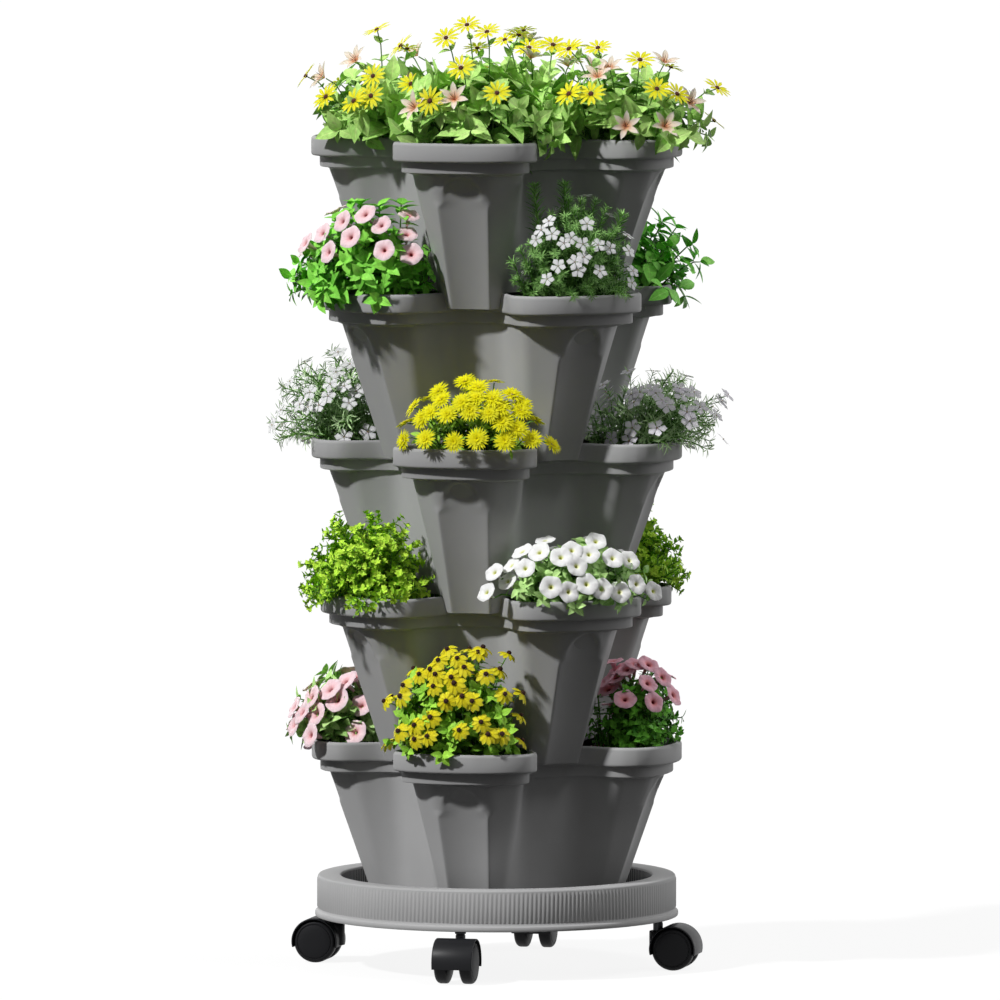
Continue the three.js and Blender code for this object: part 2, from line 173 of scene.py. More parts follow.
# Moulded plastic: the same grey polypropylene for tray and pots, satin with a very fine grain. Cloudy
# tone and gloss variation, as a mould leaves it, keeps it from looking painted.


def ranged(tree, value, to_low, to_high, low=0.3, high=0.7):
    """A value brought from one range to another."""
    return node(tree, "ShaderNodeMapRange", in_0=value, in_1=low, in_2=high, in_3=to_low, in_4=to_high)


def blend(tree, share, first, second, blend_type="MIX"):
    return node(
        tree, "ShaderNodeMix", data_type="RGBA", blend_type=blend_type, in_0=share, in_6=first, in_7=second
    )


def plastic(name, colour, roughness, cloud=0.035, grain=0.05, shine=0.05, metal=0.0):
    made, tree = material(name)
    place = node(tree, "ShaderNodeTexCoord").outputs["Object"]
    clouds = node(tree, "ShaderNodeTexNoise", in_Vector=place, in_Scale=14.0, in_Detail=5.0, in_Roughness=0.6)
    pores = node(tree, "ShaderNodeTexNoise", in_Vector=place, in_Scale=1400.0, in_Detail=2.0)
    node(
        tree,
        "Principled BSDF",
        in_Base_Color=blend(tree, 1.0, (*colour, 1), ranged(tree, clouds, 1 - cloud, 1 + cloud), "MULTIPLY"),
        in_Roughness=ranged(tree, clouds, roughness - 0.05, roughness + 0.07),
        in_Metallic=metal,
        in_Specular_IOR_Level=shine,
        in_Normal=node(tree, "ShaderNodeBump", in_Height=pores, in_Strength=grain, in_Distance=0.0004),
    )
    return made


def placed(name, mesh, materials, body, slot, *nodes, smooth_angle=35):
    """A mesh as a piece in its place in the frame, with soft shading and crisp edges."""
    made = linked(name, mesh)
    for one in materials:
        mesh.materials.append(one)
    mesh.shade_smooth()
    mesh.set_sharp_from_angle(angle=math.radians(smooth_angle))
    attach(made, body)
    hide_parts(*nodes)


# Tray: one round moulding with a flat top ring over two walls, a bead at its foot and fine upright ribs
# all round the outer wall. Its recess is painted dark, as painted shade for the shadow inside it. Sockets for
# the stems hang under it.
tray_low, tray_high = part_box("tray")
tray_top, tray_foot, bead_reach = tray_high.z, tray_low.z, tray_high.x
tray_reach, recess_reach = 0.1675, 0.1455
tray_wall = 0.0025
tray_floor = tray_foot + 0.0084
flange_under = tray_top - tray_wall
bead_height = 0.0050
rib_count, rib_steps = 256, 4
rib_depth = 0.0007
rib_top = tray_top - 0.0030
rib_foot = tray_foot + bead_height + 0.0030
socket_reach, socket_wall_reach, socket_bore, socket_depth = 0.1545, 0.0083, 0.0043, 0.028


def grown_rings(bm, rings, capped=False):
    """Closed rings of points, each extruded from the one before. Gives the first and the last ring."""
    first = bmesh.ops.create_circle(bm, segments=len(rings[0]), radius=1.0)["verts"]
    ring = first
    for level, points in enumerate(rings):
        if level:
            members = set(ring)
            edges = {e for v in ring for e in v.link_edges if e.other_vert(v) in members}
            grown = bmesh.ops.extrude_edge_only(bm, edges=list(edges))["geom"]
            fresh = {v.co.to_tuple(): v for v in grown if isinstance(v, bmesh.types.BMVert)}
            ring = [fresh[v.co.to_tuple()] for v in ring]
        for v, point in zip(ring, points):
            v.co = point
    for end in (first, ring) if capped else ():
        bmesh.ops.contextual_create(bm, geom=end)
    return first, ring


def tray_ring(radius, height):
    """One round ring of the tray, pushed out where it crosses the ribs."""
    steps = rib_count * rib_steps
    ribbed = rib_foot < height < rib_top
    ring = []
    for i in range(steps):
        reach = radius + (rib_depth if ribbed and i % rib_steps > 1 else 0.0)
        angle = 2 * math.pi * i / steps
        ring.append(Vector((reach * math.cos(angle), reach * math.sin(angle), height)))
    return ring


tray_profile = [
    (0.002, tray_floor - tray_wall), (recess_reach + tray_wall, tray_floor - tray_wall),
    (recess_reach + tray_wall, flange_under), (tray_reach - tray_wall, flange_under),
    (tray_reach - tray_wall, tray_foot), (bead_reach - 0.0012, tray_foot),
    (bead_reach - 0.0003, tray_foot + 0.0004), (bead_reach, tray_foot + 0.0013),
    (bead_reach, tray_foot + bead_height - 0.0016), (bead_reach - 0.0005, tray_foot + bead_height - 0.0005),
    (bead_reach - 0.0014, tray_foot + bead_height), (tray_reach + 0.0004, tray_foot + bead_height + 0.0010),
    (tray_reach, tray_foot + bead_height + 0.0026), (tray_reach, rib_foot + 0.0007),
    (tray_reach, rib_top - 0.0009), (tray_reach, rib_top), (tray_reach, tray_top - 0.0020),
    (tray_reach - 0.0003, tray_top - 0.0010), (tray_reach - 0.0010, tray_top - 0.0003),
    (tray_reach - 0.0022, tray_top), (recess_reach + 0.0022, tray_top),
    (recess_reach + 0.0010, tray_top - 0.0003), (recess_reach + 0.0003, tray_top - 0.0010),
    (recess_reach, tray_top - 0.0022), (recess_reach - 0.0004, tray_floor + 0.004),
    (recess_reach - 0.0020, tray_floor + 0.0008), (recess_reach - 0.0050, tray_floor), (0.002, tray_floor),
]
tray_grey = plastic("tray_plastic", (0.42, 0.42, 0.422), 0.52)
# The dark plastic of the recess is painted shade: it stands in for the shadow that falls inside the tray.
tray_recess_painted_shade = plastic("painted_shade_tray_plastic", (0.12, 0.12, 0.122), 0.35)
tray_bm = bmesh.new()
grown_rings(tray_bm, [tray_ring(radius, height) for radius, height in tray_profile])
bmesh.ops.holes_fill(tray_bm, edges=[e for e in tray_bm.edges if e.is_boundary], sides=rib_count * rib_steps)
# Faces inside the recess, below the top ring, take the painted shade material.
for face in tray_bm.faces:
    middle = face.calc_center_median()
    within = math.hypot(middle.x, middle.y) < recess_reach
    face.material_index = int(within and tray_floor - 0.0005 < middle.z < tray_top - 0.003)
socket_profile = [
    (socket_bore, tray_foot + socket_depth), (socket_bore, tray_foot + 0.0004),
    (socket_bore + 0.0004, tray_foot), (socket_wall_reach - 0.0005, tray_foot),
    (socket_wall_reach, tray_foot + 0.0005), (socket_wall_reach, flange_under + tray_wall / 2),
]
socket_turns = [2 * math.pi * k / 32 for k in range(32)]
for i in range(4):
    middle = Vector((socket_reach * math.cos(i * math.pi / 2), socket_reach * math.sin(i * math.pi / 2), 0))
    rings = []
    for radius, height in socket_profile:
        places = [(radius * math.cos(t), radius * math.sin(t), height) for t in socket_turns]
        rings.append([middle + Vector(place) for place in places])
    grown_rings(tray_bm, rings, True)
placed("tray_shell", meshed("tray_shell", tray_bm), [tray_grey, tray_recess_painted_shade], "tray", "tray_plastic", "tray")

# Casters: four push-in twin-wheel casters. A black hood with a plate between the wheels swivels on a
# steel stem in the tray's socket, and two hard black wheels turn on one pin through the plate.
wheel_reach, wheel_inner, wheel_outer = 0.020, 0.004, 0.019
axle_place = 0.017
hood_reach, hood_well, hood_half, plate_half = 0.0220, 0.0207, 0.0194, 0.0036
hood_lip = 0.0146
neck_reach, neck_top = 0.0082, 0.036
stem_reach = 0.0046
caster_black = plastic("hood_plastic", (0.010, 0.0103, 0.012), 0.4, cloud=0.06, grain=0.03, shine=0.16)
wheel_black = plastic("wheel_plastic", (0.009, 0.0092, 0.0105), 0.5, cloud=0.08, grain=0.06, shine=0.14)
pin_black = plastic("pin_steel", (0.03, 0.0305, 0.033), 0.3, cloud=0.05, grain=0.02, metal=0.85)
axle_middle = Vector((axle_place, 0, wheel_reach))
stem_middle = Vector((0, 0, 0))


def lathed(profile, middle, steps=96):
    """A closed turned shape: (radius, place along the axis) points spun about the axle or the stem."""
    bm = bmesh.new()
    axis, out = ((0, 1, 0), (0, 0, 1)) if middle == axle_middle else ((0, 0, 1), (1, 0, 0))
    points = [bm.verts.new(middle + Vector(out) * radius + Vector(axis) * along) for radius, along in profile]
    edges = [bm.edges.new(pair) for pair in zip(points, points[1:])]
    bmesh.ops.spin(
        bm, geom=points + edges, cent=middle, axis=axis, angle=2 * math.pi, steps=steps, use_merge=True
    )
    bmesh.ops.remove_doubles(bm, verts=bm.verts, dist=1e-6)
    return meshed("turned", bm)


def mirrored(profile):
    return [(radius, -along) for radius, along in profile]


def joined(base, *changes):
    """A mesh with others cut out of it or added to it."""
    work = linked("work", base)
    others = []
    for operation, mesh in changes:
        change = work.modifiers.new(operation, "BOOLEAN")
        change.operation = operation
        change.object = linked("other", mesh)
        change.solver = "EXACT"
        others.append(change.object)
    made = bpy.data.meshes.new_from_object(work.evaluated_get(bpy.context.evaluated_depsgraph_get()))
    for used in [work] + others:
        bpy.data.objects.remove(used)
    return made


wheel_profile = [
    (0.0028, wheel_inner + 0.0002), (0.0075, wheel_inner + 0.0002), (0.0090, wheel_inner + 0.0006),
    (0.0150, wheel_inner + 0.0014), (0.0182, wheel_inner + 0.0026), (0.0194, wheel_inner + 0.0034),
    (0.0199, wheel_inner + 0.0044), (wheel_reach, wheel_inner + 0.0056), (wheel_reach, wheel_outer - 0.0050),
    (0.0198, wheel_outer - 0.0038), (0.0193, wheel_outer - 0.0028), (0.0184, wheel_outer - 0.0018),
    (0.0174, wheel_outer - 0.0012), (0.0167, wheel_outer - 0.0012), (0.0163, wheel_outer - 0.0017),
    (0.0158, wheel_outer - 0.0017), (0.0154, wheel_outer - 0.0011), (0.0140, wheel_outer - 0.0007),
    (0.0100, wheel_outer - 0.0002), (0.0050, wheel_outer), (0.0, wheel_outer),
    (0.0, wheel_outer - 0.0027), (0.0028, wheel_outer - 0.0027), (0.0028, wheel_inner + 0.0002),
]
hood_side = [
    (0.0, hood_half - 0.0003), (hood_well + 0.0004, hood_half - 0.0003),
    (hood_reach - 0.0006, hood_half - 0.0003), (hood_reach - 0.0002, hood_half - 0.0007),
    (hood_reach, hood_half - 0.0014),
]
hood_profile = mirrored(hood_side) + [(hood_reach, 0.0)] + hood_side[::-1]
well_profile = [(0.0, plate_half), (hood_well, plate_half), (hood_well, 2 * hood_half), (0.0, 2 * hood_half)]
neck_profile = [
    (0.0, wheel_reach - 0.004), (neck_reach, wheel_reach - 0.004), (neck_reach, neck_top - 0.0010),
    (neck_reach - 0.0003, neck_top - 0.0003), (neck_reach - 0.0010, neck_top), (0.0, neck_top),
]
stem_bore = [(0.0, 0.024), (0.0027, 0.024), (0.0027, 0.05), (0.0, 0.05)]
axle_bore = [(0.0, -0.01), (0.0028, -0.01), (0.0028, 0.01), (0.0, 0.01)]
saddle_bm = bmesh.new()
bmesh.ops.create_cube(saddle_bm, size=1.0)
saddle_ends = {
    (-1, -1): (0.0, wheel_reach),
    (1, -1): (axle_place, wheel_reach),
    (1, 1): (axle_place, wheel_reach + hood_reach - 0.0006),
    (-1, 1): (0.0, neck_top - 0.0004),
}
for v in saddle_bm.verts:
    x, z = saddle_ends[(1 if v.co.x > 0 else -1, 1 if v.co.z > 0 else -1)]
    v.co = (x, math.copysign(neck_reach, v.co.y), z)
saddle_sides = [e for e in saddle_bm.edges if all(v.co.z > wheel_reach + 0.001 for v in e.verts)]
saddle_sides = [e for e in saddle_sides if abs(e.verts[0].co.x - e.verts[1].co.x) > 0.001]
bmesh.ops.bevel(
    saddle_bm, geom=saddle_sides, offset=0.0022, offset_type="OFFSET", segments=4, profile=0.5,
    affect="EDGES", material=-1,
)
below_bm = bmesh.new()
bmesh.ops.create_cube(below_bm, size=0.1)
bmesh.ops.translate(below_bm, verts=below_bm.verts, vec=(0, 0, hood_lip - 0.05))
hood_mesh = joined(
    lathed(hood_profile, axle_middle),
    ("UNION", lathed(neck_profile, stem_middle, 64)),
    ("UNION", meshed("saddle", saddle_bm)),
    ("DIFFERENCE", lathed(well_profile, axle_middle)),
    ("DIFFERENCE", lathed(mirrored(well_profile), axle_middle)),
    ("DIFFERENCE", meshed("below", below_bm)),
    ("DIFFERENCE", lathed(stem_bore, stem_middle, 32)),
    ("DIFFERENCE", lathed(axle_bore, axle_middle, 32)),
)
stem_profile = [
    (0.0, 0.0243), (0.0020, 0.0243), (0.0024, 0.0247), (0.0024, 0.0363), (stem_reach, 0.0363),
    (stem_reach, 0.0432), (stem_reach - 0.0005, 0.0436), (stem_reach - 0.0005, 0.0441),
    (stem_reach + 0.0006, 0.0450), (stem_reach + 0.0007, 0.0468), (stem_reach + 0.0004, 0.0474),
    (0.0040, 0.0474), (0.0040, 0.0752), (0.0035, 0.0757), (0.0, 0.0757),
]
caster_parts = [
    # piece, its mesh and material, the end of its body's name, slot, the node that it replaces
    ("pin", lathed(stem_profile, stem_middle, 48), pin_black, "", "pin_steel", "stem"),
    ("cover", hood_mesh, caster_black, "", "hood_plastic", "hood"),
    ("roller_a", lathed(wheel_profile, axle_middle), wheel_black, "_wheel_a", "wheel_plastic", "wheel_a"),
    (
        "roller_b", lathed(mirrored(wheel_profile), axle_middle), wheel_black, "_wheel_b", "wheel_plastic",
        "wheel_b",
    ),
]
for i, place in enumerate(["right", "back", "left", "front"]):
    spot = Matrix.Rotation(i * math.pi / 2, 4, "Z") @ Matrix.Translation((socket_reach, 0, 0))
    caster = f"caster_{place}"
    for part, mesh, finish, body, slot, cad_part in caster_parts:
        own = mesh.copy()
        own.transform(spot)
        placed(f"{caster}_{part}", own, [finish], caster + body, slot, f"{caster}_{cad_part}")
    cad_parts[f"{caster}_axle"].material_slots[0].material = pin_black

# Pots: five alike, each one grey moulding of four pockets round the tower's axis, a rolled rim band and
# a narrower second band over a tapering body with an arched flute down every pocket. The pots stack
# loose, each turned an eighth: its floor rests on the rim below and its four tongues hang over it.
rim_reach, rim_half, rim_centre, rim_web = 0.174, 0.069, 0.1315, 0.098
body_reach, body_half, body_centre, body_web = 0.156, 0.054, 0.128, 0.0905
foot_reach, foot_half, foot_centre, foot_web = 0.112, 0.0254, 0.1006, 0.083
body_ridge, foot_ridge = 0.026, 0.0184
web_half, foot_web_half = 0.028, 0.027
pot_wall = 0.0028
flute_depth, lobe_bulge = 0.0026, 0.004
band_foot, body_top = -0.0285, -0.031
pot_floor_top, pot_floor_under, pot_foot = -0.1385, -0.141, -0.156
arch_drop, arch_rise, arch_softness = 0.0045, 0.024, 0.006
lobe_power, lobe_end = 2 / 2.2, math.radians(76)
front_steps, ridge_steps, facet_steps = 10, 4, 4
corner_steps, side_steps, crease_steps, web_steps = 6, 5, 7, 2
lobe_steps = front_steps + ridge_steps + facet_steps
body_steps = 30
drain_radius, drain_circle, drain_sides = 0.004, 0.058, 16
pocket_count = 4
quarter_turn = 2 * math.pi / pocket_count
# height under the rim's top, distance in from the rim's edge
rim_profile = [
    (-0.0292, 0.0148), (-0.0285, 0.0140), (-0.0285, 0.0092), (-0.0281, 0.0083), (-0.0272, 0.0080),
    (-0.0190, 0.0080), (-0.0183, 0.0077), (-0.0180, 0.0070), (-0.0180, 0.0026), (-0.0178, 0.0013),
    (-0.0170, 0.0004), (-0.0156, 0.0000), (-0.0090, 0.0000), (-0.0030, 0.0000), (-0.0016, 0.0003),
    (-0.0005, 0.0013), (0.0, 0.0028), (-0.0005, 0.0042), (-0.0016, 0.0050), (-0.0150, 0.0052),
    (-0.0160, 0.0060), (-0.0164, 0.0120), (-0.0174, 0.0130), (-0.0255, 0.0132), (-0.0266, 0.0144),
]
tongue_levels = [-0.1425, -0.1490, -0.1550, pot_foot]


def eased(value):
    """0 below 0, 1 above 1, and a soft step between."""
    value = min(max(value, 0.0), 1.0)
    return value * value * (3 - 2 * value)


def bezier(foot, bend, tip, share):
    return foot * (1 - share) ** 2 + bend * 2 * share * (1 - share) + tip * share * share


def rounded(before, corner, after, reach, steps):
    """Points of a corner rounded off to a given distance along both of its sides."""
    start = corner + (before - corner).normalized() * min(reach, (before - corner).length * 0.48)
    end = corner + (after - corner).normalized() * min(reach, (after - corner).length * 0.48)
    return [bezier(start, corner, end, i / (steps - 1)) for i in range(steps)]


def spaced(start, end, steps):
    """Points between two ends, without the ends."""
    return [start.lerp(end, (i + 1) / (steps + 1)) for i in range(steps)]


def led_to_web(points, corner, shoulder, crease, middle, reach):
    """Half a pocket's outline, led on from its rounded shoulder over the crease to the middle of the web."""
    valley = rounded(shoulder, crease, middle, reach, crease_steps)
    points = points + corner + spaced(corner[-1], valley[0], side_steps) + valley
    return points + spaced(valley[-1], middle, web_steps) + [middle]


def web_points(web, half):
    """The crease beside a web, and the web's middle."""
    return Vector((web + half, web - half)) * math.sqrt(0.5), Vector((web, web)) * math.sqrt(0.5)


def band_half_outline(offset):
    """Half a pocket of a band, from the middle of its outer end to the middle of the web."""
    reach, half = rim_reach - offset - rim_centre, rim_half - offset
    lobe = []
    for i in range(lobe_steps):
        angle = lobe_end * i / lobe_steps
        away = rim_centre + reach * math.cos(angle) ** lobe_power
        lobe.append(Vector((away, half * math.sin(angle) ** lobe_power)))
    shoulder = Vector((rim_centre, half))
    crease, middle = web_points(rim_web - offset / 2, web_half)
    corner = rounded(lobe[-1], shoulder, crease, 0.012, corner_steps)
    return led_to_web(lobe, corner, shoulder, crease, middle, 0.020)


def body_half_outline(z):
    """Half a pocket of the body at a height, with its hollow flute below the arch."""
    share = (band_foot - z) / (band_foot - pot_foot)
    ridge = Vector((body_reach, body_ridge)).lerp(Vector((foot_reach, foot_ridge)), share)
    shoulder = Vector((body_centre, body_half)).lerp(Vector((foot_centre, foot_half)), share)
    crease, middle = web_points(
        body_web + (foot_web - body_web) * share, web_half + (foot_web_half - web_half) * share
    )
    spring = eased((band_foot - arch_drop - arch_rise - z) / arch_softness + 0.5)
    ridge_round = 0.009 * (1 - spring) + 0.0012 * spring
    bend = rounded(Vector((ridge.x, ridge.y - 0.012)), ridge, shoulder, ridge_round, ridge_steps)
    front = []
    for i in range(front_steps):
        across = i / front_steps
        arch = band_foot - arch_drop - arch_rise * (1 - math.sqrt(1 - across * across))
        carved = eased((arch - z) / arch_softness + 0.5)
        hollow = -flute_depth * carved + lobe_bulge * (1 - carved)
        front.append(Vector((bend[0].x + hollow * (1 - across * across), bend[0].y * across)))
    corner = rounded(ridge, shoulder, crease, 0.009 - 0.006 * share, corner_steps)
    points = front + bend + spaced(bend[-1], corner[0], facet_steps)
    return led_to_web(points, corner, shoulder, crease, middle, 0.012 - 0.004 * share)


def whole_outline(half, inner=0.0):
    """Four pockets, anticlockwise, from half a pocket and its mirror image, moved in by a distance."""
    pocket = [Vector((p.x, -p.y)) for p in reversed(half[1:])] + half[:-1]
    points = [Matrix.Rotation(i * quarter_turn, 2) @ p for i in range(pocket_count) for p in pocket]
    moved = []
    for i, p in enumerate(points if inner else ()):
        u = (p - points[i - 1]).normalized()
        v = (points[(i + 1) % len(points)] - p).normalized()
        inward = Vector((-u.y - v.y, u.x + v.x))
        moved.append(p + inward * (2 * inner / inward.length_squared))
    return moved or points


def body_ring(z, inner=0.0, tongues=False):
    """The body at a height, where the pockets alone hang under the floor as tongues."""
    half = body_half_outline(z)
    whole = 2 * (len(half) - 1)
    tongue = lobe_steps + corner_steps - 1
    ring = []
    for i, p in enumerate(whole_outline(half, inner)):
        hangs = abs(i % whole - whole // 2) <= tongue
        ring.append(Vector((p.x, p.y, z if hangs or not tongues else pot_floor_under)))
    return ring


def pot_rings():
    """The pot's skin as rings, from its floor's underside out, up, over the rim and down inside."""
    rings = [body_ring(pot_floor_under, pot_wall)]
    rings += [body_ring(z, pot_wall, True) for z in tongue_levels[1:]]
    rings += [body_ring(z, 0.0, True) for z in reversed(tongue_levels)]
    rings.append(body_ring(pot_floor_under))
    for i in range(1, body_steps + 1):
        share = ((body_steps - i) / body_steps) ** 1.35
        rings.append(body_ring(body_top + (pot_floor_under - body_top) * share))
    for z, offset in rim_profile:
        rings.append([Vector((p.x, p.y, z)) for p in whole_outline(band_half_outline(offset))])
    rings += [body_ring(z, pot_wall) for z in (-0.029, -0.06, -0.10, pot_floor_top + 0.004)]
    return rings + [body_ring(pot_floor_top, pot_wall + 0.003)]


def pot_mesh():
    """One pot about its own axis, its rim's top at 0."""
    bm = bmesh.new()
    ends = grown_rings(bm, pot_rings())
    holes = []
    for z, end in zip((pot_floor_under, pot_floor_top), ends):
        loops = []
        for i in range(pocket_count + 1):
            away = drain_circle if i < pocket_count else 0.0
            turn = i * quarter_turn
            spot = Matrix.Translation((away * math.cos(turn), away * math.sin(turn), z))
            circle = bmesh.ops.create_circle(bm, segments=drain_sides, radius=drain_radius, matrix=spot)
            loops.append(list({e for v in circle["verts"] for e in v.link_edges}))
        holes.append(loops)
        around = {e for v in end for e in v.link_edges if e.is_boundary}
        circles = [e for loop in loops for e in loop]
        bmesh.ops.triangle_fill(bm, use_beauty=True, edges=list(around) + circles)
    for under, over in zip(*holes):
        bmesh.ops.bridge_loops(bm, edges=under + over)
    bmesh.ops.remove_doubles(bm, verts=bm.verts, dist=1e-6)
    bmesh.ops.dissolve_degenerate(bm, edges=bm.edges, dist=1e-6)
    return meshed("pot", bm)


pot_grey = plastic("pot_plastic", (0.40, 0.40, 0.402), 0.52)
rim_tops = {tier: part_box(f"tier_{tier}_pot")[1].z for tier in range(1, 6)}
tier_turns = {tier: quarter_turn / 2 * (tier % 2 == 0) for tier in rim_tops}


def in_every_tier(mesh, name, finish, slot, cad_name, smooth_angle=35):
    for tier, rim_top in rim_tops.items():
        own = mesh.copy()
        own.transform(Matrix.Translation((0, 0, rim_top)) @ Matrix.Rotation(tier_turns[tier], 4, "Z"))
        body = f"tier_{tier}"
        placed(f"{body}_{name}", own, [finish], body, slot, f"{body}_{cad_name}", smooth_angle=smooth_angle)


in_every_tier(pot_mesh(), "shell", pot_grey, "pot_plastic", "pot")

# Potting soil: each pot is filled to just under its second band with dark crumbly earth, lumpy on top.
soil_top, soil_gap = -0.028, 0.0006
soil_levels = [pot_floor_top + soil_gap, -0.11, -0.09, -0.075, -0.063, -0.055, -0.048, -0.041, -0.035]
soil_shares = [0.985, 0.95, 0.9, 0.84, 0.77, 0.7, 0.62, 0.54, 0.45, 0.35, 0.24, 0.12, 0.02]
soil_edge_drop, soil_dip = 0.002, 0.0006
soil_lumps = [(45, 0.0022), (160, 0.0014)]  # how fine, how high


def grainy(
    name, dark, light, scale, roughness=0.6, detail=3.0, mixed=0.5, light_from=0.68, lumps=(0.6, 0.0004),
    shine=0.25,
):
    """Two tones in a grain: potting soil, stalks and flower middles."""
    made, tree = material(name)
    place = node(tree, "ShaderNodeTexCoord").outputs["Object"]
    grain = node(
        tree, "ShaderNodeTexNoise", in_Vector=place, in_Scale=scale, in_Detail=detail, in_Roughness=mixed
    )
    tones = node(tree, "ShaderNodeValToRGB", in_0=grain)
    for element, spot, colour in zip(tones.color_ramp.elements, (0.35, light_from), (dark, light)):
        element.position = spot
        element.color = (*colour, 1)
    bump = node(tree, "ShaderNodeBump", in_Height=grain, in_Strength=lumps[0], in_Distance=lumps[1])
    node(
        tree, "Principled BSDF", in_Base_Color=tones, in_Roughness=roughness, in_Specular_IOR_Level=shine,
        in_Normal=bump,
    )
    return made


def soil_mesh():
    """The fill of one pot, lumpy on top."""
    bm = bmesh.new()
    rings = [body_ring(z, pot_wall + soil_gap) for z in soil_levels + [soil_top - soil_edge_drop]]
    for share in soil_shares:
        ring = []
        for p in rings[len(soil_levels)]:
            place = Vector((p.x * share, p.y * share, 0))
            lumps = sum(noise.noise(place * fineness) * height for fineness, height in soil_lumps)
            ring.append(Vector((place.x, place.y, soil_top + (lumps - soil_dip) * (1 - share**8))))
        rings.append(ring)
    grown_rings(bm, rings, True)
    return meshed("soil", bm)


soil_brown = grainy(
    "soil", (0.012, 0.008, 0.005), (0.075, 0.050, 0.032), 260.0, 0.95, 6.0, 0.7, 0.72, (0.8, 0.002), 0.2
)
in_every_tier(soil_mesh(), "earth", soil_brown, "soil", "soil", 60)

# Room for plants: each plant is rooted in one pocket's soil and fills the mound that the frame keeps for
# it over the rim. It grows in its pocket's own directions: out from the tower, sideways, and up from the
# rim's top. Leaves, petals and stalks are copies of a few small shapes, kept clear of both pots.
pocket_places = ["right", "right_back", "back", "left_back", "left", "left_front", "front", "right_front"]
golden_turn = math.radians(137.508)
photo_side = 1000
plant_gap = 0.001
soil_slack = 0.004
root_middle, root_near, root_far, root_side = 0.118, 0.100, 0.138, 0.032
root_depth = 0.001
follow_away, follow_aside = 0.4, 0.45
root_scatter = (0.008, 0.006)
bend_share, bend_to_middle = 0.45, 0.3
arch_share, arch_lift, least_arch = 0.6, 0.014, 0.016
spiral_scatter = 0.25
shoot_step, shoot_tries = Vector((0.006, 0, 0.002)), 4
camera_step, sprig_tries, flower_tries = 0.003, 12, 16
lowest_leaf = -0.012
turn_scatter, tilt_scatter = 0.35, 0.2
tone_middle, tone_scatter, young_tone, young_shrink = 0.46, 0.2, 0.4, 0.35
look_scatter, look_up, look_to_sun = 0.22, 1.1, 0.45
petal_scatter, petal_tip_scatter = 0.18, 0.09
leaf_finish, stalk_finish, petal_finish, eye_finish, other_petal_finish = range(5)
upwards = Vector((0, 0, 1))
here = Matrix.Identity(4)
to_sun = bpy.data.objects["key_lamp"].rotation_euler.to_matrix() @ upwards
bearings = np.linspace(0, 2 * math.pi, 721)


def reach_round(half):
    """How far an outline reaches from the tower's axis at each bearing."""
    outline = whole_outline(half)
    turns = np.array([math.atan2(p.y, p.x) for p in outline])
    return np.interp(bearings, turns, [p.length for p in outline], period=2 * math.pi)


second_band, rim_inside, rim_band = [reach_round(band_half_outline(offset)) for offset in (0.008, 0.0060, 0)]
body_heights = [pot_foot, -0.12, -0.09, -0.06, band_foot - 0.001]
skin_heights = body_heights + [band_foot, -0.0186, -0.0178, 0.0006]
skin_table = [reach_round(body_half_outline(z)) for z in body_heights]
skin_table = np.array(skin_table + [second_band, second_band, rim_band, rim_band])


def clear_of_pots(points, tier):
    """Which points are clear of the pot that holds the plant and of the pot above it."""
    reach = np.hypot(points[:, 0], points[:, 1])
    free = np.ones(len(points), bool)
    for pot in {tier, tier + 1} & rim_tops.keys():
        turn = np.arctan2(points[:, 1], points[:, 0]) - tier_turns[pot]
        columns = np.round((turn % (2 * math.pi)) / (2 * math.pi) * (len(bearings) - 1)).astype(int)
        heights = points[:, 2] - rim_tops[pot]
        rows = np.interp(heights, skin_heights, range(len(skin_heights)))
        low = np.minimum(rows.astype(int), len(skin_heights) - 2)
        share = rows - low
        pot_reach = skin_table[low, columns] * (1 - share) + skin_table[low + 1, columns] * share
        beside = (heights > pot_foot - plant_gap) & (heights < 2 * plant_gap)
        inside = (heights > soil_top - soil_slack) & (reach < rim_inside[columns]) & (pot == tier)
        free &= ~beside | (reach > pot_reach + plant_gap) | inside
    return free


def small_shape(bm, finish):
    """A shape to be copied, as arrays: points, triangles, their UVs and their finish."""
    bmesh.ops.triangulate(bm, faces=bm.faces)
    uv = bm.loops.layers.uv.verify()
    bm.verts.index_update()
    shape = {
        "points": np.array([v.co[:] for v in bm.verts]),
        "faces": np.array([[v.index for v in f.verts] for f in bm.faces]),
        "uvs": np.array([[loop[uv].uv[:] for loop in f.loops] for f in bm.faces]),
        "finish": np.full(len(bm.faces), finish),
    }
    bm.free()
    return shape


def moved(points, place):
    place = np.array(place)
    return points @ place[:3, :3].T + place[:3, 3]


def copied(parts):
    """Copies of small shapes as one shape. A part is a shape, its places and a tone for each place."""
    made = {"points": [], "faces": [], "uvs": [], "finish": [], "tone": []}
    base = 0
    for shape, places, tones in parts:
        spots = np.array(places)
        count, size = len(spots), len(shape["points"])
        points = np.einsum("kij,nj->kni", spots[:, :3, :3], shape["points"]) + spots[:, None, :3, 3]
        steps = base + np.arange(count)[:, None, None] * size
        made["points"].append(points.reshape(-1, 3))
        made["faces"].append((shape["faces"][None] + steps).reshape(-1, 3))
        made["uvs"].append(np.tile(shape["uvs"], (count, 1, 1)))
        made["finish"].append(np.tile(shape["finish"], count))
        made["tone"].append(np.repeat(tones, size))
        base += count * size
    return {key: np.concatenate(values) for key, values in made.items()}


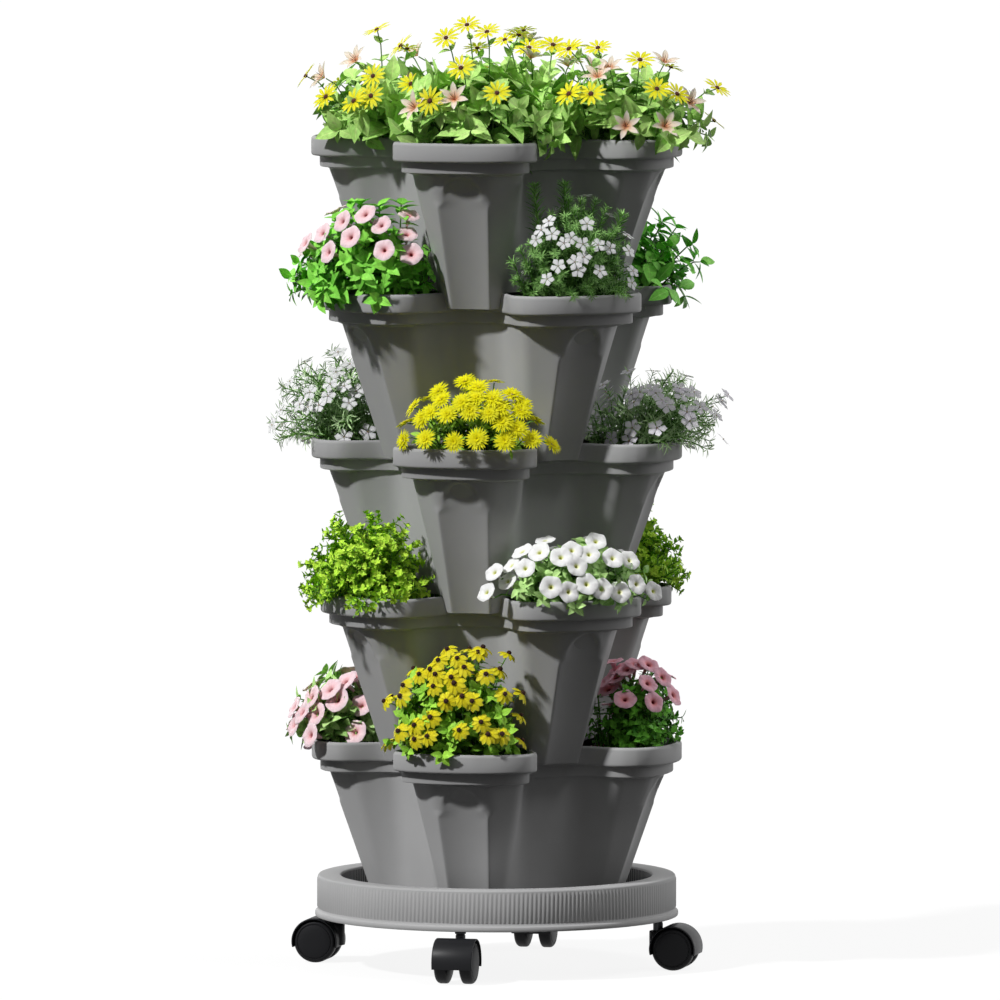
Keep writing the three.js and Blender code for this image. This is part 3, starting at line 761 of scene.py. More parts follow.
def blade(
    length, width, slimness, fullness, fold=0.0, curl=0.0, rows=5, thickness=0.0003, finish=leaf_finish,
    start=0.0,
):
    """A leaf or petal as a thin closed shell, from its foot along +Y with its face to +Z. Slimness moves
    its widest place outwards, fullness rounds its ends, fold lifts its edges and curl drops its tip."""
    bm = bmesh.new()
    bmesh.ops.create_grid(bm, x_segments=2, y_segments=rows, size=1.0)
    uv = bm.loops.layers.uv.verify()
    for face in bm.faces:
        for loop in face.loops:
            loop[uv].uv = ((loop.vert.co.x + 1) / 2, (loop.vert.co.y + 1) / 2)
    for v in bm.verts:
        across, along = v.co.x, (v.co.y + 1) / 2
        half = width / 2 * max(math.sin(math.pi * along**slimness), 0.0) ** fullness
        v.co = (across * half, start + along * length, abs(across) * half * fold - curl * length * along**2)
    rim = {v for e in bm.edges if e.is_boundary for v in e.verts}
    back = bmesh.ops.duplicate(bm, geom=bm.verts[:] + bm.edges[:] + bm.faces[:])["geom"]
    bmesh.ops.reverse_faces(bm, faces=[f for f in back if isinstance(f, bmesh.types.BMFace)])
    back_verts = [v for v in back if isinstance(v, bmesh.types.BMVert)]
    inner = [v for v in back_verts if not any(e.is_boundary for e in v.link_edges)]
    bmesh.ops.translate(bm, verts=inner, vec=(0, 0, -thickness))
    bmesh.ops.remove_doubles(bm, verts=list(rim) + back_verts, dist=1e-7)
    bmesh.ops.dissolve_degenerate(bm, edges=bm.edges, dist=1e-7)
    return small_shape(bm, finish)


def petal(*sizes, start=0.0, thickness=0.0002, **bends):
    return blade(*sizes, thickness=thickness, finish=petal_finish, start=start, **bends)


def petal_ring(shape, count, rise, turn=0.0):
    """A ring of petals round a flower's middle, each a little out of line with the last."""
    luck = random.Random(count)
    places = []
    turns = [luck.uniform(-petal_scatter, petal_scatter) for _ in range(count)]
    for i, off in enumerate(turns):
        tip = rise + luck.uniform(-petal_tip_scatter, petal_tip_scatter)
        around = turn + (i + off) * 2 * math.pi / count
        places.append(Matrix.Rotation(around, 4, "Z") @ Matrix.Rotation(tip, 4, "X"))
    return shape, places, [0.0] * count


def flower_of(ring, radius, height, sides=8, lift=0.0004):
    """A flower: a ring of petals and a domed middle."""
    bm = bmesh.new()
    bmesh.ops.create_uvsphere(bm, u_segments=sides, v_segments=5, radius=1.0)
    bmesh.ops.scale(bm, verts=bm.verts, vec=(radius, radius, height))
    return copied([ring, (small_shape(bm, eye_finish), [Matrix.Translation((0, 0, lift))], [0.0])])


def standing(at, along, face, size):
    """The place of a copy: its foot at a point, its length along one way, its face turned to another."""
    y = along.normalized()
    x = y.cross(face).normalized()
    z = x.cross(y)
    rows = [(x[i] * size, y[i] * size, z[i] * size, at[i]) for i in range(3)]
    return Matrix((*rows, (0, 0, 0, 1)))


def facing(at, face, spin, size):
    """The place of a flower: its middle at a point, its face turned one way."""
    turned = face.normalized().to_track_quat("Z", "Y").to_matrix().to_4x4()
    return Matrix.Translation(at) @ turned @ Matrix.Rotation(spin, 4, "Z") @ Matrix.Scale(size, 4)


def straight_tube(sides, rings):
    """A closed tube, one unit long and with a reach of one, to be bent into a stalk."""
    bm = bmesh.new()
    bmesh.ops.create_cone(bm, cap_ends=True, segments=sides, radius1=1, radius2=1, depth=1)
    bmesh.ops.translate(bm, verts=bm.verts, vec=(0, 0, 0.5))
    for i in range(1, rings - 1):
        level = (0, 0, i / (rings - 1))
        geometry = bm.verts[:] + bm.edges[:] + bm.faces[:]
        bmesh.ops.bisect_plane(bm, geom=geometry, plane_co=level, plane_no=upwards)
    return small_shape(bm, stalk_finish)


stalk_tube, twig_tube = straight_tube(5, 6), straight_tube(4, 3)


def bent(shape, foot, bend, tip, foot_radius, tip_radius):
    """A straight tube bent along a curve from foot to tip, and tapered."""
    across = (bend - foot).cross(tip - bend)
    if across.length <= 1e-7:
        across = Vector((0, 1, 0)).cross(tip - foot)
    across = across.normalized()
    share = shape["points"][:, 2:]
    ways = np.array(bend - foot) * (1 - share) + np.array(tip - bend) * share
    ways /= np.linalg.norm(ways, axis=1, keepdims=True)
    reach = shape["points"][:, :2] * (foot_radius + (tip_radius - foot_radius) * share)
    middles = np.array(foot) * (1 - share) ** 2 + np.array(bend) * 2 * share * (1 - share)
    middles = middles + np.array(tip) * share**2
    second = np.cross(ways, np.array(across))
    return {**shape, "points": middles + np.array(across) * reach[:, :1] + second * reach[:, 1:]}


def spread_way(i, count, droop, shift=0.0):
    """One of some directions spread evenly in a golden spiral from straight up to below level."""
    lift = 1 - (1 + droop) * (i + 0.5) / count
    level = math.sqrt(1 - lift * lift)
    turn = i * golden_turn + shift
    return Vector((level * math.cos(turn), level * math.sin(turn), lift))


class Plant:
    """One plant: its pocket, its mound and all that has grown so far."""

    def __init__(self, tier, place, fill=1.0):
        self.tier, self.place = tier, place
        self.node = f"plant_{tier}_{place}"
        self.luck = random.Random(self.node)
        bearing = math.radians(45 * pocket_places.index(place))
        self.home = Matrix.Translation((0, 0, rim_tops[tier])) @ Matrix.Rotation(bearing, 4, "Z")
        self.into = self.home.inverted()
        room = [self.into @ v.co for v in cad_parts[self.node].data.vertices]
        low, high = (Vector([end(p[i] for p in room) for i in range(3)]) for end in (min, max))
        self.middle = Vector(((low.x + high.x) / 2, (low.y + high.y) / 2, 0))
        self.half = Vector(((high.x - low.x) / 2, (high.y - low.y) / 2, high.z)) * fill
        self.camera = self.into @ camera.location
        self.copies = {}
        self.stalks = []

    def clear(self, shape, place=here):
        """Whether a whole copy of a shape is clear of the pots."""
        return clear_of_pots(moved(shape["points"], self.home @ place), self.tier).all()

    def add(self, shape, place, tone):
        """A copy more of a shape. All leaves of a plant are copies of its first one."""
        _, places, tones = self.copies.setdefault(shape["finish"][0], (shape, [], []))
        places.append(place)
        tones.append(tone)

    def on_mound(self, way, share=1.0):
        """The point of the mound in a direction from its middle."""
        return self.middle + Vector([way[i] * self.half[i] for i in range(3)]) * share

    def outward(self, point):
        """The way straight off the mound at a point."""
        off = point - self.middle
        return Vector([off[i] / self.half[i] ** 2 for i in range(3)]).normalized()

    def seen_at(self, pixel, share):
        """The point on the mound that the camera sees at a pixel of the photograph, and the way to it."""
        across = ((pixel[0] - photo_side / 2) / photo_side + sideways_shift) * camera_data.sensor_width
        up = (photo_side / 2 - pixel[1]) / photo_side * camera_data.sensor_width
        way = camera.rotation_euler.to_matrix() @ Vector((across, up, -lens_mm))
        way = (self.into.to_3x3() @ way).normalized()
        half = self.half * share
        start = self.camera - self.middle
        a = Vector([start[i] / half[i] for i in range(3)])
        b = Vector([way[i] / half[i] for i in range(3)])
        inner = a.dot(b) ** 2 - b.dot(b) * (a.dot(a) - 1)
        distance = (-a.dot(b) - math.sqrt(max(inner, 0.0))) / b.dot(b)
        return self.camera + way * distance, way

    def hidden_spots(self, count, droop, share, seen):
        """Evenly spread points of the mound, only on the sides that the photograph hides if it shows any."""
        spots = [self.on_mound(spread_way(i, count, droop), share) for i in range(count)]
        return [p for p in spots if not seen or self.outward(p).dot((self.camera - p).normalized()) < -0.1]

    def stalk(self, tip, end_way=None, foot_radius=0.0011, tip_radius=0.0006):
        """A stalk from the soil to a tip, or None if it would run through a pot."""
        away_off, aside_off = [self.luck.uniform(-most, most) for most in root_scatter]
        away = root_middle + (tip.x - root_middle) * follow_away + away_off
        aside = tip.y * follow_aside + aside_off
        away, aside = min(max(away, root_near), root_far), min(max(aside, -root_side), root_side)
        foot = Vector((away, aside, soil_top - root_depth))
        if end_way is None:
            bend = foot.lerp(tip, bend_share)
        else:
            bend = tip - end_way.normalized() * (tip - foot).length * bend_share
            bend = bend.lerp(foot.lerp(tip, 0.5), bend_to_middle)
        bend.z = max(bend.z, tip.z * arch_share + arch_lift, least_arch)
        bend.x = max(bend.x, root_near)
        shape = bent(stalk_tube, foot, bend, tip, foot_radius, tip_radius)
        if not self.clear(shape):
            return None
        self.stalks.append(shape)
        return foot, bend, tip

    def grown(self, tip, step, tries, *form):
        """A stalk as a list, its tip moved by a step for as long as it runs through a pot."""
        for _ in range(tries):
            made = self.stalk(tip, *form)
            if made:
                return [made]
            tip = tip + step
        return []

    def shoots(self, count, droop, spread, *radii):
        """Leafy stalks to points spread evenly over the mound."""
        made = []
        for i in range(count):
            way = spread_way(i, count, droop, self.luck.uniform(-spiral_scatter, spiral_scatter))
            tip = self.on_mound(way, self.luck.uniform(*spread))
            made += self.grown(tip, shoot_step, shoot_tries, None, *radii)
        return made

    def sprigs(self, pixels, share=0.8):
        """Stalks to the tips of leafy shoots that stand out in the photograph."""
        made = []
        for tip, way in [self.seen_at(pixel, share) for pixel in pixels]:
            made += self.grown(tip, way * -camera_step, sprig_tries, upwards)
        return made

    def leaves(
        self, shape, shoot, gap, start=0.25, lean=0.5, whorl=2, step=math.pi / 2, size=(0.8, 1.0), light=0.55,
        tuft=3, open_tip=0.5
    ):
        """Leaves in pairs or whorls up a shoot, turned to the light, with a tuft of young ones on its tip."""
        foot, bend, tip = shoot
        luck = self.luck
        length = (bend - foot).length + (tip - bend).length
        count = max(int(length * (1 - start) / gap), 1)
        phase = luck.uniform(0, 2 * math.pi)
        rows = [(start + (1 - start) * i / count, i, whorl, lean) for i in range(count)]
        for share, i, members, slope in rows + [(1.0, count, tuft, open_tip)]:
            at = bezier(foot, bend, tip, share)
            if at.z < lowest_leaf:
                continue
            way = ((bend - foot) * (1 - share) + (tip - bend) * share).normalized()
            first = way.cross(Vector((0.3, 0.9, 0.2))).normalized()
            second = way.cross(first)
            young = share**3
            for k in range(members):
                off = luck.uniform(-turn_scatter, turn_scatter)
                turn = phase + i * step + k * 2 * math.pi / members + off
                side = first * math.cos(turn) + second * math.sin(turn)
                tilt = slope + luck.uniform(-tilt_scatter, tilt_scatter)
                along = side * math.cos(tilt) + way * math.sin(tilt)
                face = way * math.cos(tilt) - side * math.sin(tilt)
                face = face.lerp((upwards + self.outward(at) * 0.5).normalized(), light)
                place = standing(at, along, face, luck.uniform(*size) * (1 - young_shrink * young))
                if self.clear(shape, place):
                    tone = luck.gauss(tone_middle, tone_scatter) + young_tone * young
                    self.add(shape, place, min(max(tone, 0.0), 1.0))

    def flowers(
        self, shape, pixels, hidden, size, share=0.95, neck=0.0, droop=0.1, nod=0.25, thickness=0.0006
    ):
        """Flowers where the photograph shows them, and as many to an area on the sides that it hides. One
        that the photograph shows moves to the camera for as long as it touches a pot. Gives their stalks."""
        luck = self.luck
        made = []
        seen = [self.seen_at(pixel, share) for pixel in pixels]
        spots = [(at, way * -camera_step) for at, way in seen]
        spots += [(at, None) for at in self.hidden_spots(hidden, droop, share, bool(pixels))]
        to_sun_here = self.into.to_3x3() @ to_sun
        for at, step in spots:
            look = self.outward(at) + Vector((nod, 0, 0.1))
            look = look + Vector([luck.uniform(-look_scatter, look_scatter) for _ in range(3)])
            look += upwards * look_up if step is None else to_sun_here * look_to_sun
            grown = luck.uniform(*size)
            spin = luck.uniform(0, 2 * math.pi)
            for _ in range(1 if step is None else flower_tries):
                place = facing(at, look, spin, grown)
                if self.clear(shape, place):
                    self.add(shape, place, luck.random())
                    foot = at - look.normalized() * neck * grown
                    made.append(self.stalk(foot, look, thickness * 1.2, thickness))
                    break
                if step is not None:
                    at = at + step
        return [stalk for stalk in made if stalk]

    def settle(self, kind, slot, finishes):
        """The plant as one piece that rides on its pot."""
        parts = [*self.copies.values(), *[(shape, [here], [self.luck.random()]) for shape in self.stalks]]
        whole = copied(parts)
        faces = whole["faces"]
        mesh = bpy.data.meshes.new(kind)
        mesh.vertices.add(len(whole["points"]))
        mesh.vertices.foreach_set("co", moved(whole["points"], self.home).ravel())
        mesh.loops.add(faces.size)
        mesh.loops.foreach_set("vertex_index", faces.ravel())
        mesh.polygons.add(len(faces))
        mesh.polygons.foreach_set("loop_start", np.arange(0, faces.size, 3))
        mesh.polygons.foreach_set("material_index", whole["finish"])
        mesh.uv_layers.new(name="UVMap").uv.foreach_set("vector", whole["uvs"].ravel())
        mesh.attributes.new("tone", "FLOAT", "POINT").data.foreach_set("value", whole["tone"])
        mesh.update(calc_edges=True)
        name = f"{kind}_{self.tier}_{self.place}"
        placed(name, mesh, finishes, f"tier_{self.tier}", slot, self.node, smooth_angle=50)


def leaf_skin(name, old, young, rib=0.35, roughness=0.42, ribs=7.0):
    """Green leaf: each leaf has its own tone from old to young, paler ribs, and blotches in the green."""
    made, tree = material(name)
    place = node(tree, "ShaderNodeTexCoord").outputs
    tone = node(tree, "ShaderNodeAttribute", attribute_name="tone").outputs["Fac"]
    blotch = node(tree, "ShaderNodeTexNoise", in_Vector=place["Object"], in_Scale=210.0, in_Detail=3.0)
    green = blend(tree, tone, (*old, 1), (*young, 1))
    patchy = blend(tree, 1.0, green, ranged(tree, blotch, 0.78, 1.18), "MULTIPLY")
    parted = node(tree, "ShaderNodeSeparateXYZ", in_0=place["UV"]).outputs
    from_middle = worked_out(tree, "ABSOLUTE", worked_out(tree, "SUBTRACT", parted["X"], 0.5))
    slant = worked_out(tree, "MULTIPLY_ADD", from_middle, -0.8, parted["Y"])
    row = worked_out(tree, "PINGPONG", worked_out(tree, "MULTIPLY", slant, ribs), 0.5)
    spine = ranged(tree, from_middle, 1.0, 0.0, 0.015, 0.07)
    lines = worked_out(tree, "MAXIMUM", spine, ranged(tree, row, 0.6, 0.0, 0.03, 0.11))
    pale = (*[min(c * 1.5 + 0.06, 1.0) for c in young], 1)
    node(
        tree,
        "Principled BSDF",
        in_Base_Color=blend(tree, worked_out(tree, "MULTIPLY", lines, rib), patchy, pale),
        in_Roughness=roughness,
        in_Specular_IOR_Level=0.08,
        in_Normal=node(
            tree, "ShaderNodeBump", invert=True, in_Strength=0.5, in_Distance=0.0004, in_Height=lines
        ),
    )
    return made


def petal_skin(name, colours, streak=0.12):
    """Petal: colours from its foot to its tip, fine lengthwise streaks, and each flower its own tone."""
    made, tree = material(name)
    place = node(tree, "ShaderNodeTexCoord").outputs["UV"]
    along = node(tree, "ShaderNodeSeparateXYZ", in_0=place).outputs["Y"]
    ramp = node(tree, "ShaderNodeValToRGB", in_0=along)
    for spot, _ in colours[2:]:
        ramp.color_ramp.elements.new(spot)
    for element, (spot, colour) in zip(ramp.color_ramp.elements, colours):
        element.position = spot
        element.color = (*colour, 1)
    stretch = node(tree, "ShaderNodeMapping", in_Vector=place, in_Scale=(26.0, 1.6, 1.0))
    lines = node(tree, "ShaderNodeTexNoise", in_Vector=stretch, in_Scale=1.0, in_Detail=2.0)
    tone = node(tree, "ShaderNodeAttribute", attribute_name="tone").outputs["Fac"]
    own = ranged(tree, tone, 0.93, 1.0, 0.0, 1.0)
    both = worked_out(tree, "MULTIPLY", ranged(tree, lines, 1 - streak, 1.0), own)
    node(
        tree,
        "Principled BSDF",
        in_Base_Color=blend(tree, 1.0, ramp, both, "MULTIPLY"),
        in_Roughness=0.55,
        in_Specular_IOR_Level=0.12,
        in_Subsurface_Weight=0.5,
        in_Subsurface_Scale=0.001,
        in_Subsurface_Radius=(1, 1, 1),
        in_Normal=node(tree, "ShaderNodeBump", in_Strength=0.35, in_Distance=0.0003, in_Height=lines),
    )
    return made


stalk_green = grainy("stalk_green", (0.08, 0.22, 0.03), (0.20, 0.42, 0.08), 500.0)

# Brown-eyed daisies: a loose dome of golden flowers with dark domed eyes over pointed oval leaves, in the
# lowest pot's front pocket, and a like one behind it.
brown_eyed_at = [
    (447, 649), (483, 647), (509, 653), (457, 658), (430, 669), (419, 674), (451, 677), (464, 667),
    (500, 669), (486, 674), (433, 686), (454, 683), (462, 696), (472, 701), (403, 685), (400, 696),
    (384, 701), (505, 694), (523, 693), (521, 715), (430, 717), (414, 725), (459, 730), (481, 722),
    (427, 736), (414, 739), (398, 731), (488, 734), (502, 734), (478, 652), (446, 701), (438, 660),
    (435, 674),
]
golden_petal = petal(0.0090, 0.0045, 1.5, 0.55, fold=0.15, curl=0.22, rows=4, start=0.0016)
brown_eyed = flower_of(petal_ring(golden_petal, 10, -0.32), 0.0023, 0.0019)
oval_leaf = blade(0.017, 0.0105, 0.72, 0.95, fold=0.25, curl=0.22)
brown_eyed_skins = [
    leaf_skin("daisy_leaf", (0.05, 0.22, 0.015), (0.42, 0.82, 0.08)),
    stalk_green,
    petal_skin(
        "golden_petal", [(0.0, (0.95, 0.58, 0.004)), (0.2, (1.0, 0.82, 0.012)), (1.0, (1.0, 0.90, 0.035))]
    ),
    grainy("brown_eye", (0.012, 0.004, 0.003), (0.055, 0.018, 0.010), 1800.0, 0.8),
]
for place, pixels, hidden in (("front", brown_eyed_at, 34), ("back", [], 44)):
    plant = Plant(1, place)
    for shoot in plant.shoots(78, 0.02, (0.6, 0.88)):
        plant.leaves(oval_leaf, shoot, 0.010, start=0.3, lean=0.4, size=(0.8, 1.15), tuft=4)
    for stalk in plant.flowers(brown_eyed, pixels, hidden, (0.98, 1.15), 0.96, nod=0.1):
        plant.leaves(oval_leaf, stalk, 0.022, start=0.3, whorl=1, size=(0.5, 0.8), tuft=0)
    plant.settle("brown_eyed_daisy", "plant_brown_eyed_daisy", brown_eyed_skins)

# Petunias: soft five-lobed trumpets on short stalks over oval leaves. Pink ones with a dark throat grow in
# four pockets, white ones with a yellow-green throat in two.
petunias_at = {
    (1, "left"): [
        (316, 714), (361, 705), (310, 735), (355, 732), (345, 681), (294, 724), (330, 689), (294, 707),
        (311, 697), (356, 676), (302, 712), (337, 700),
    ],
    (1, "right"): [
        (625, 699), (654, 702), (648, 683), (616, 677), (649, 664), (663, 677), (674, 695), (608, 689),
        (613, 661), (627, 669), (619, 668), (607, 679), (636, 664),
    ],
    (4, "left_front"): [
        (350, 237), (384, 250), (411, 254), (328, 252), (322, 233), (365, 214), (381, 225), (305, 243),
        (407, 234), (409, 215), (342, 221),
    ],
    (2, "right_front"): [
        (539, 552), (561, 557), (589, 554), (613, 558), (522, 551), (511, 565), (507, 581), (486, 592),
        (551, 587), (569, 592), (587, 584), (602, 589), (620, 592), (637, 584), (654, 591), (545, 540),
        (596, 541), (494, 572), (572, 550), (630, 560), (525, 568), (577, 566),
    ],
}
petunia_sprigs_at = {
    (4, "left_front"): [
        (360, 205), (379, 207), (401, 205), (336, 219), (300, 262), (292, 276), (312, 284), (322, 292),
        (430, 250), (432, 270), (425, 284), (316, 270),
    ],
    (1, "right"): [
        (588, 735), (592, 722), (596, 708), (602, 740), (606, 726), (598, 696), (640, 738), (655, 730),
    ],
    (1, "left"): [(372, 735), (366, 722), (350, 707), (330, 722), (368, 690)],
}
# radius, height and how far along the petal's colours
trumpet_profile = [
    (0.0003, -0.0062, 0.0), (0.0008, -0.0055, 0.05), (0.0012, -0.0035, 0.11), (0.0020, -0.0016, 0.20),
    (0.0040, -0.0003, 0.38), (0.0072, 0.0004, 0.66), (0.0098, 0.0004, 0.88), (0.0110, -0.0001, 0.98),
    (0.0109, -0.0004, 1.0), (0.0096, 0.0000, 0.86), (0.0060, -0.0006, 0.60), (0.0030, -0.0026, 0.50),
    (0.0018, -0.0075, 0.45), (0.0012, -0.0125, 0.42), (0.0004, -0.0132, 0.40),
]
trumpet_sides, trumpet_lobes, trumpet_ruffle = 30, 5, 0.0003
flare_start, flare_reach, lobe_reach, lobe_wave = 0.003, 0.0075, 0.04, 0.0004


def trumpet():
    """A petunia flower as a closed skin: down the throat, over the wavy lip and back along the tube."""
    rings = []
    levels = {}
    for radius, height, share in trumpet_profile:
        flare = eased((radius - flare_start) / flare_reach)
        ring = []
        for k in range(trumpet_sides):
            turn = 2 * math.pi * k / trumpet_sides
            lobe = math.cos(trumpet_lobes * turn)
            reach = radius * (1 + lobe_reach * flare * lobe)
            wave = flare * (lobe_wave * lobe + trumpet_ruffle * math.sin(2 * trumpet_lobes * turn + 0.7))
            point = Vector((reach * math.cos(turn), reach * math.sin(turn), height + wave))
            levels[tuple(round(c, 6) for c in point)] = (k / trumpet_sides, share)
            ring.append(point)
        rings.append(ring)
    bm = bmesh.new()
    grown_rings(bm, rings, True)
    bmesh.ops.recalc_face_normals(bm, faces=bm.faces)
    uv = bm.loops.layers.uv.verify()
    for face in bm.faces:
        for loop in face.loops:
            loop[uv].uv = levels[tuple(round(c, 6) for c in loop.vert.co)]
    return small_shape(bm, petal_finish)


petunia = trumpet()
petunia_leaf = blade(0.0205, 0.0125, 0.72, 0.95, fold=0.25, curl=0.25)
petunia_green = leaf_skin("petunia_leaf", (0.045, 0.32, 0.012), (0.36, 0.92, 0.12), rib=0.3)
pale_petunia_green = leaf_skin("pale_petunia_leaf", (0.10, 0.30, 0.04), (0.58, 0.90, 0.32), rib=0.3)
dark_petunia_green = leaf_skin("dark_petunia_leaf", (0.012, 0.12, 0.006), (0.17, 0.52, 0.05), rib=0.2)
pale_pink_colours = [
    (0.0, (0.10, 0.015, 0.02)), (0.12, (0.45, 0.10, 0.11)), (0.25, (0.88, 0.50, 0.52)),
    (0.5, (1.0, 0.70, 0.74)), (1.0, (1.0, 0.75, 0.80)),
]
deep_pink_colours = [
    (0.0, (0.05, 0.006, 0.01)), (0.13, (0.25, 0.03, 0.04)), (0.27, (0.92, 0.34, 0.36)),
    (0.5, (1.0, 0.50, 0.60)), (1.0, (1.0, 0.56, 0.67)),
]
white_colours = [
    (0.0, (0.45, 0.52, 0.08)), (0.13, (0.75, 0.78, 0.28)), (0.25, (0.92, 0.93, 0.72)),
    (0.34, (0.94, 0.94, 0.93)), (1.0, (0.95, 0.95, 0.95)),
]
pale_pink = petal_skin("pale_pink_petal", pale_pink_colours)
deep_pink = petal_skin("deep_pink_petal", deep_pink_colours)
white = petal_skin("white_petal", white_colours, 0.05)
for tier, place, hidden, size, green, coloured, shoot_count, leaf_size, kind in (
    (1, "left", 20, (1.0, 1.15), pale_petunia_green, pale_pink, 46, (0.8, 1.2), "pink_petunia"),
    (1, "right", 20, (0.9, 1.02), dark_petunia_green, deep_pink, 96, (0.4, 0.7), "pink_petunia"),
    (4, "left_front", 22, (0.92, 1.06), petunia_green, pale_pink, 56, (0.8, 1.25), "pink_petunia"),
    (4, "left_back", 26, (0.92, 1.06), petunia_green, pale_pink, 46, (0.8, 1.2), "pink_petunia"),
    (2, "right_front", 24, (0.88, 0.98), pale_petunia_green, white, 66, (0.6, 0.95), "white_petunia"),
    (2, "left_back", 30, (0.88, 0.98), pale_petunia_green, white, 50, (0.6, 0.95), "white_petunia"),
):
    plant = Plant(tier, place)
    pixels = petunias_at.get((tier, place), [])
    sprigs = plant.sprigs(petunia_sprigs_at.get((tier, place), []), 0.88)
    for shoot in plant.shoots(shoot_count, 0.15 if tier > 1 else 0.02, (0.6, 0.9)) + sprigs:
        plant.leaves(petunia_leaf, shoot, 0.010, start=0.3, lean=0.35, size=leaf_size, tuft=4)
    for stalk in plant.flowers(petunia, pixels, hidden, size, 0.95, 0.013, 0.2, nod=0.65, thickness=0.0008):
        plant.leaves(petunia_leaf, stalk, 0.02, start=0.35, whorl=1, size=(0.5, 0.8), tuft=0)
    plant.settle(kind, f"plant_{kind}", [green, stalk_green, coloured])

# Phlox: a cushion of stiff shoots set all round with needle leaves, scattered with flat five-petalled
# flowers. Some upright sprigs stand above the rest.
phlox_front_at = [
    (547, 279), (558, 266), (564, 243), (583, 244), (584, 257), (552, 234), (587, 224), (549, 221),
    (610, 248), (600, 271), (629, 251), (633, 271), (632, 283), (578, 270), (598, 245), (575, 262),
    (541, 230), (536, 240), (571, 238),
]
phlox_left_at = [
    (358, 451), (368, 432), (344, 437), (356, 391), (344, 386), (349, 403), (328, 396), (336, 372),
    (300, 404), (290, 381), (272, 425), (308, 407), (319, 405), (330, 384), (372, 399), (350, 364),
    (338, 352), (310, 392), (281, 410),
]
phlox_right_at = [
    (606, 392), (609, 398), (628, 371), (631, 394), (634, 402), (652, 389), (656, 393), (667, 405),
    (662, 400), (680, 388), (682, 394), (690, 421), (687, 412), (694, 392), (722, 401), (728, 395),
    (716, 415), (632, 428), (657, 428), (629, 441), (611, 440), (640, 392), (603, 385), (700, 407),
]
tall_sprigs_at = [(534, 186), (564, 184), (622, 215)]
front_sprigs_at = [
    (512, 262), (520, 250), (514, 281), (527, 270), (530, 244), (524, 288), (538, 284), (541, 256),
]
right_sprigs_at = [(588, 434), (592, 418), (597, 403), (602, 428), (606, 412), (595, 440)]
phlox_petal = petal(0.0073, 0.0056, 1.8, 0.5, fold=-0.1, curl=0.1, rows=3, start=0.0004)
phlox = flower_of(petal_ring(phlox_petal, 5, 0.08), 0.0005, 0.0007, 6, 0.0)
needle = blade(0.0105, 0.0013, 0.9, 0.45, fold=0.3, curl=0.12, rows=3)
long_needle = blade(0.0175, 0.0021, 0.9, 0.6, fold=0.3, curl=0.2, rows=4)
needle_green = leaf_skin("needle_leaf", (0.012, 0.09, 0.006), (0.36, 0.66, 0.20), rib=0.1, ribs=1.0)
fresh_green = leaf_skin("fresh_needle_leaf", (0.16, 0.36, 0.09), (0.66, 0.90, 0.48), rib=0.1, ribs=1.0)
white_phlox_colours = [(0.0, (0.80, 0.60, 0.84)), (0.15, (0.95, 0.93, 0.98)), (1.0, (0.99, 0.99, 1.0))]
lilac_phlox_colours = [(0.0, (0.70, 0.45, 0.78)), (0.15, (0.90, 0.84, 0.97)), (1.0, (0.96, 0.94, 1.0))]
white_phlox = petal_skin("white_phlox_petal", white_phlox_colours, 0.03)
lilac_phlox = petal_skin("lilac_phlox_petal", lilac_phlox_colours, 0.04)
phlox_eye_skin = grainy("phlox_eye", (0.35, 0.20, 0.05), (0.60, 0.42, 0.12), 2500.0)
for tier, place, pixels, low_at, hidden, size, green, coloured, shoot_count, spread, thin_leaf, gap in (
    (
        4, "right_front", phlox_front_at, front_sprigs_at, 30, (0.92, 1.06), needle_green, white_phlox, 100,
        (0.62, 0.94), needle, 0.0024,
    ),
    (
        3, "left", phlox_left_at, [], 34, (1.1, 1.3), fresh_green, white_phlox, 56, (0.6, 0.9), long_needle,
        0.006,
    ),
    (
        3, "right", phlox_right_at, right_sprigs_at, 34, (1.1, 1.3), fresh_green, lilac_phlox, 62, (0.6, 0.9),
        long_needle, 0.006,
    ),
):
    plant = Plant(tier, place)
    low_sprigs = plant.sprigs(low_at)
    for shoot in plant.shoots(shoot_count, 0.12, spread, 0.0009, 0.0005) + low_sprigs:
        plant.leaves(thin_leaf, shoot, gap, 0.22, 0.62, whorl=3, step=0.9, size=(0.7, 1.1), light=0.2, tuft=7)
    for stalk in plant.flowers(phlox, pixels, hidden, size, 0.92, 0.001, 0.15, nod=0.3, thickness=0.0004):
        plant.leaves(needle, stalk, 0.006, 0.45, 0.7, size=(0.5, 0.8), light=0.1, tuft=0)
    for sprig in plant.sprigs(tall_sprigs_at if tier == 4 else []):
        plant.leaves(needle, sprig, 0.0026, 0.3, 0.75, whorl=4, step=0.8, size=(1.1, 1.5), light=0.0, tuft=8)
    plant.settle("phlox", "plant_lilac_phlox", [green, stalk_green, coloured, phlox_eye_skin])

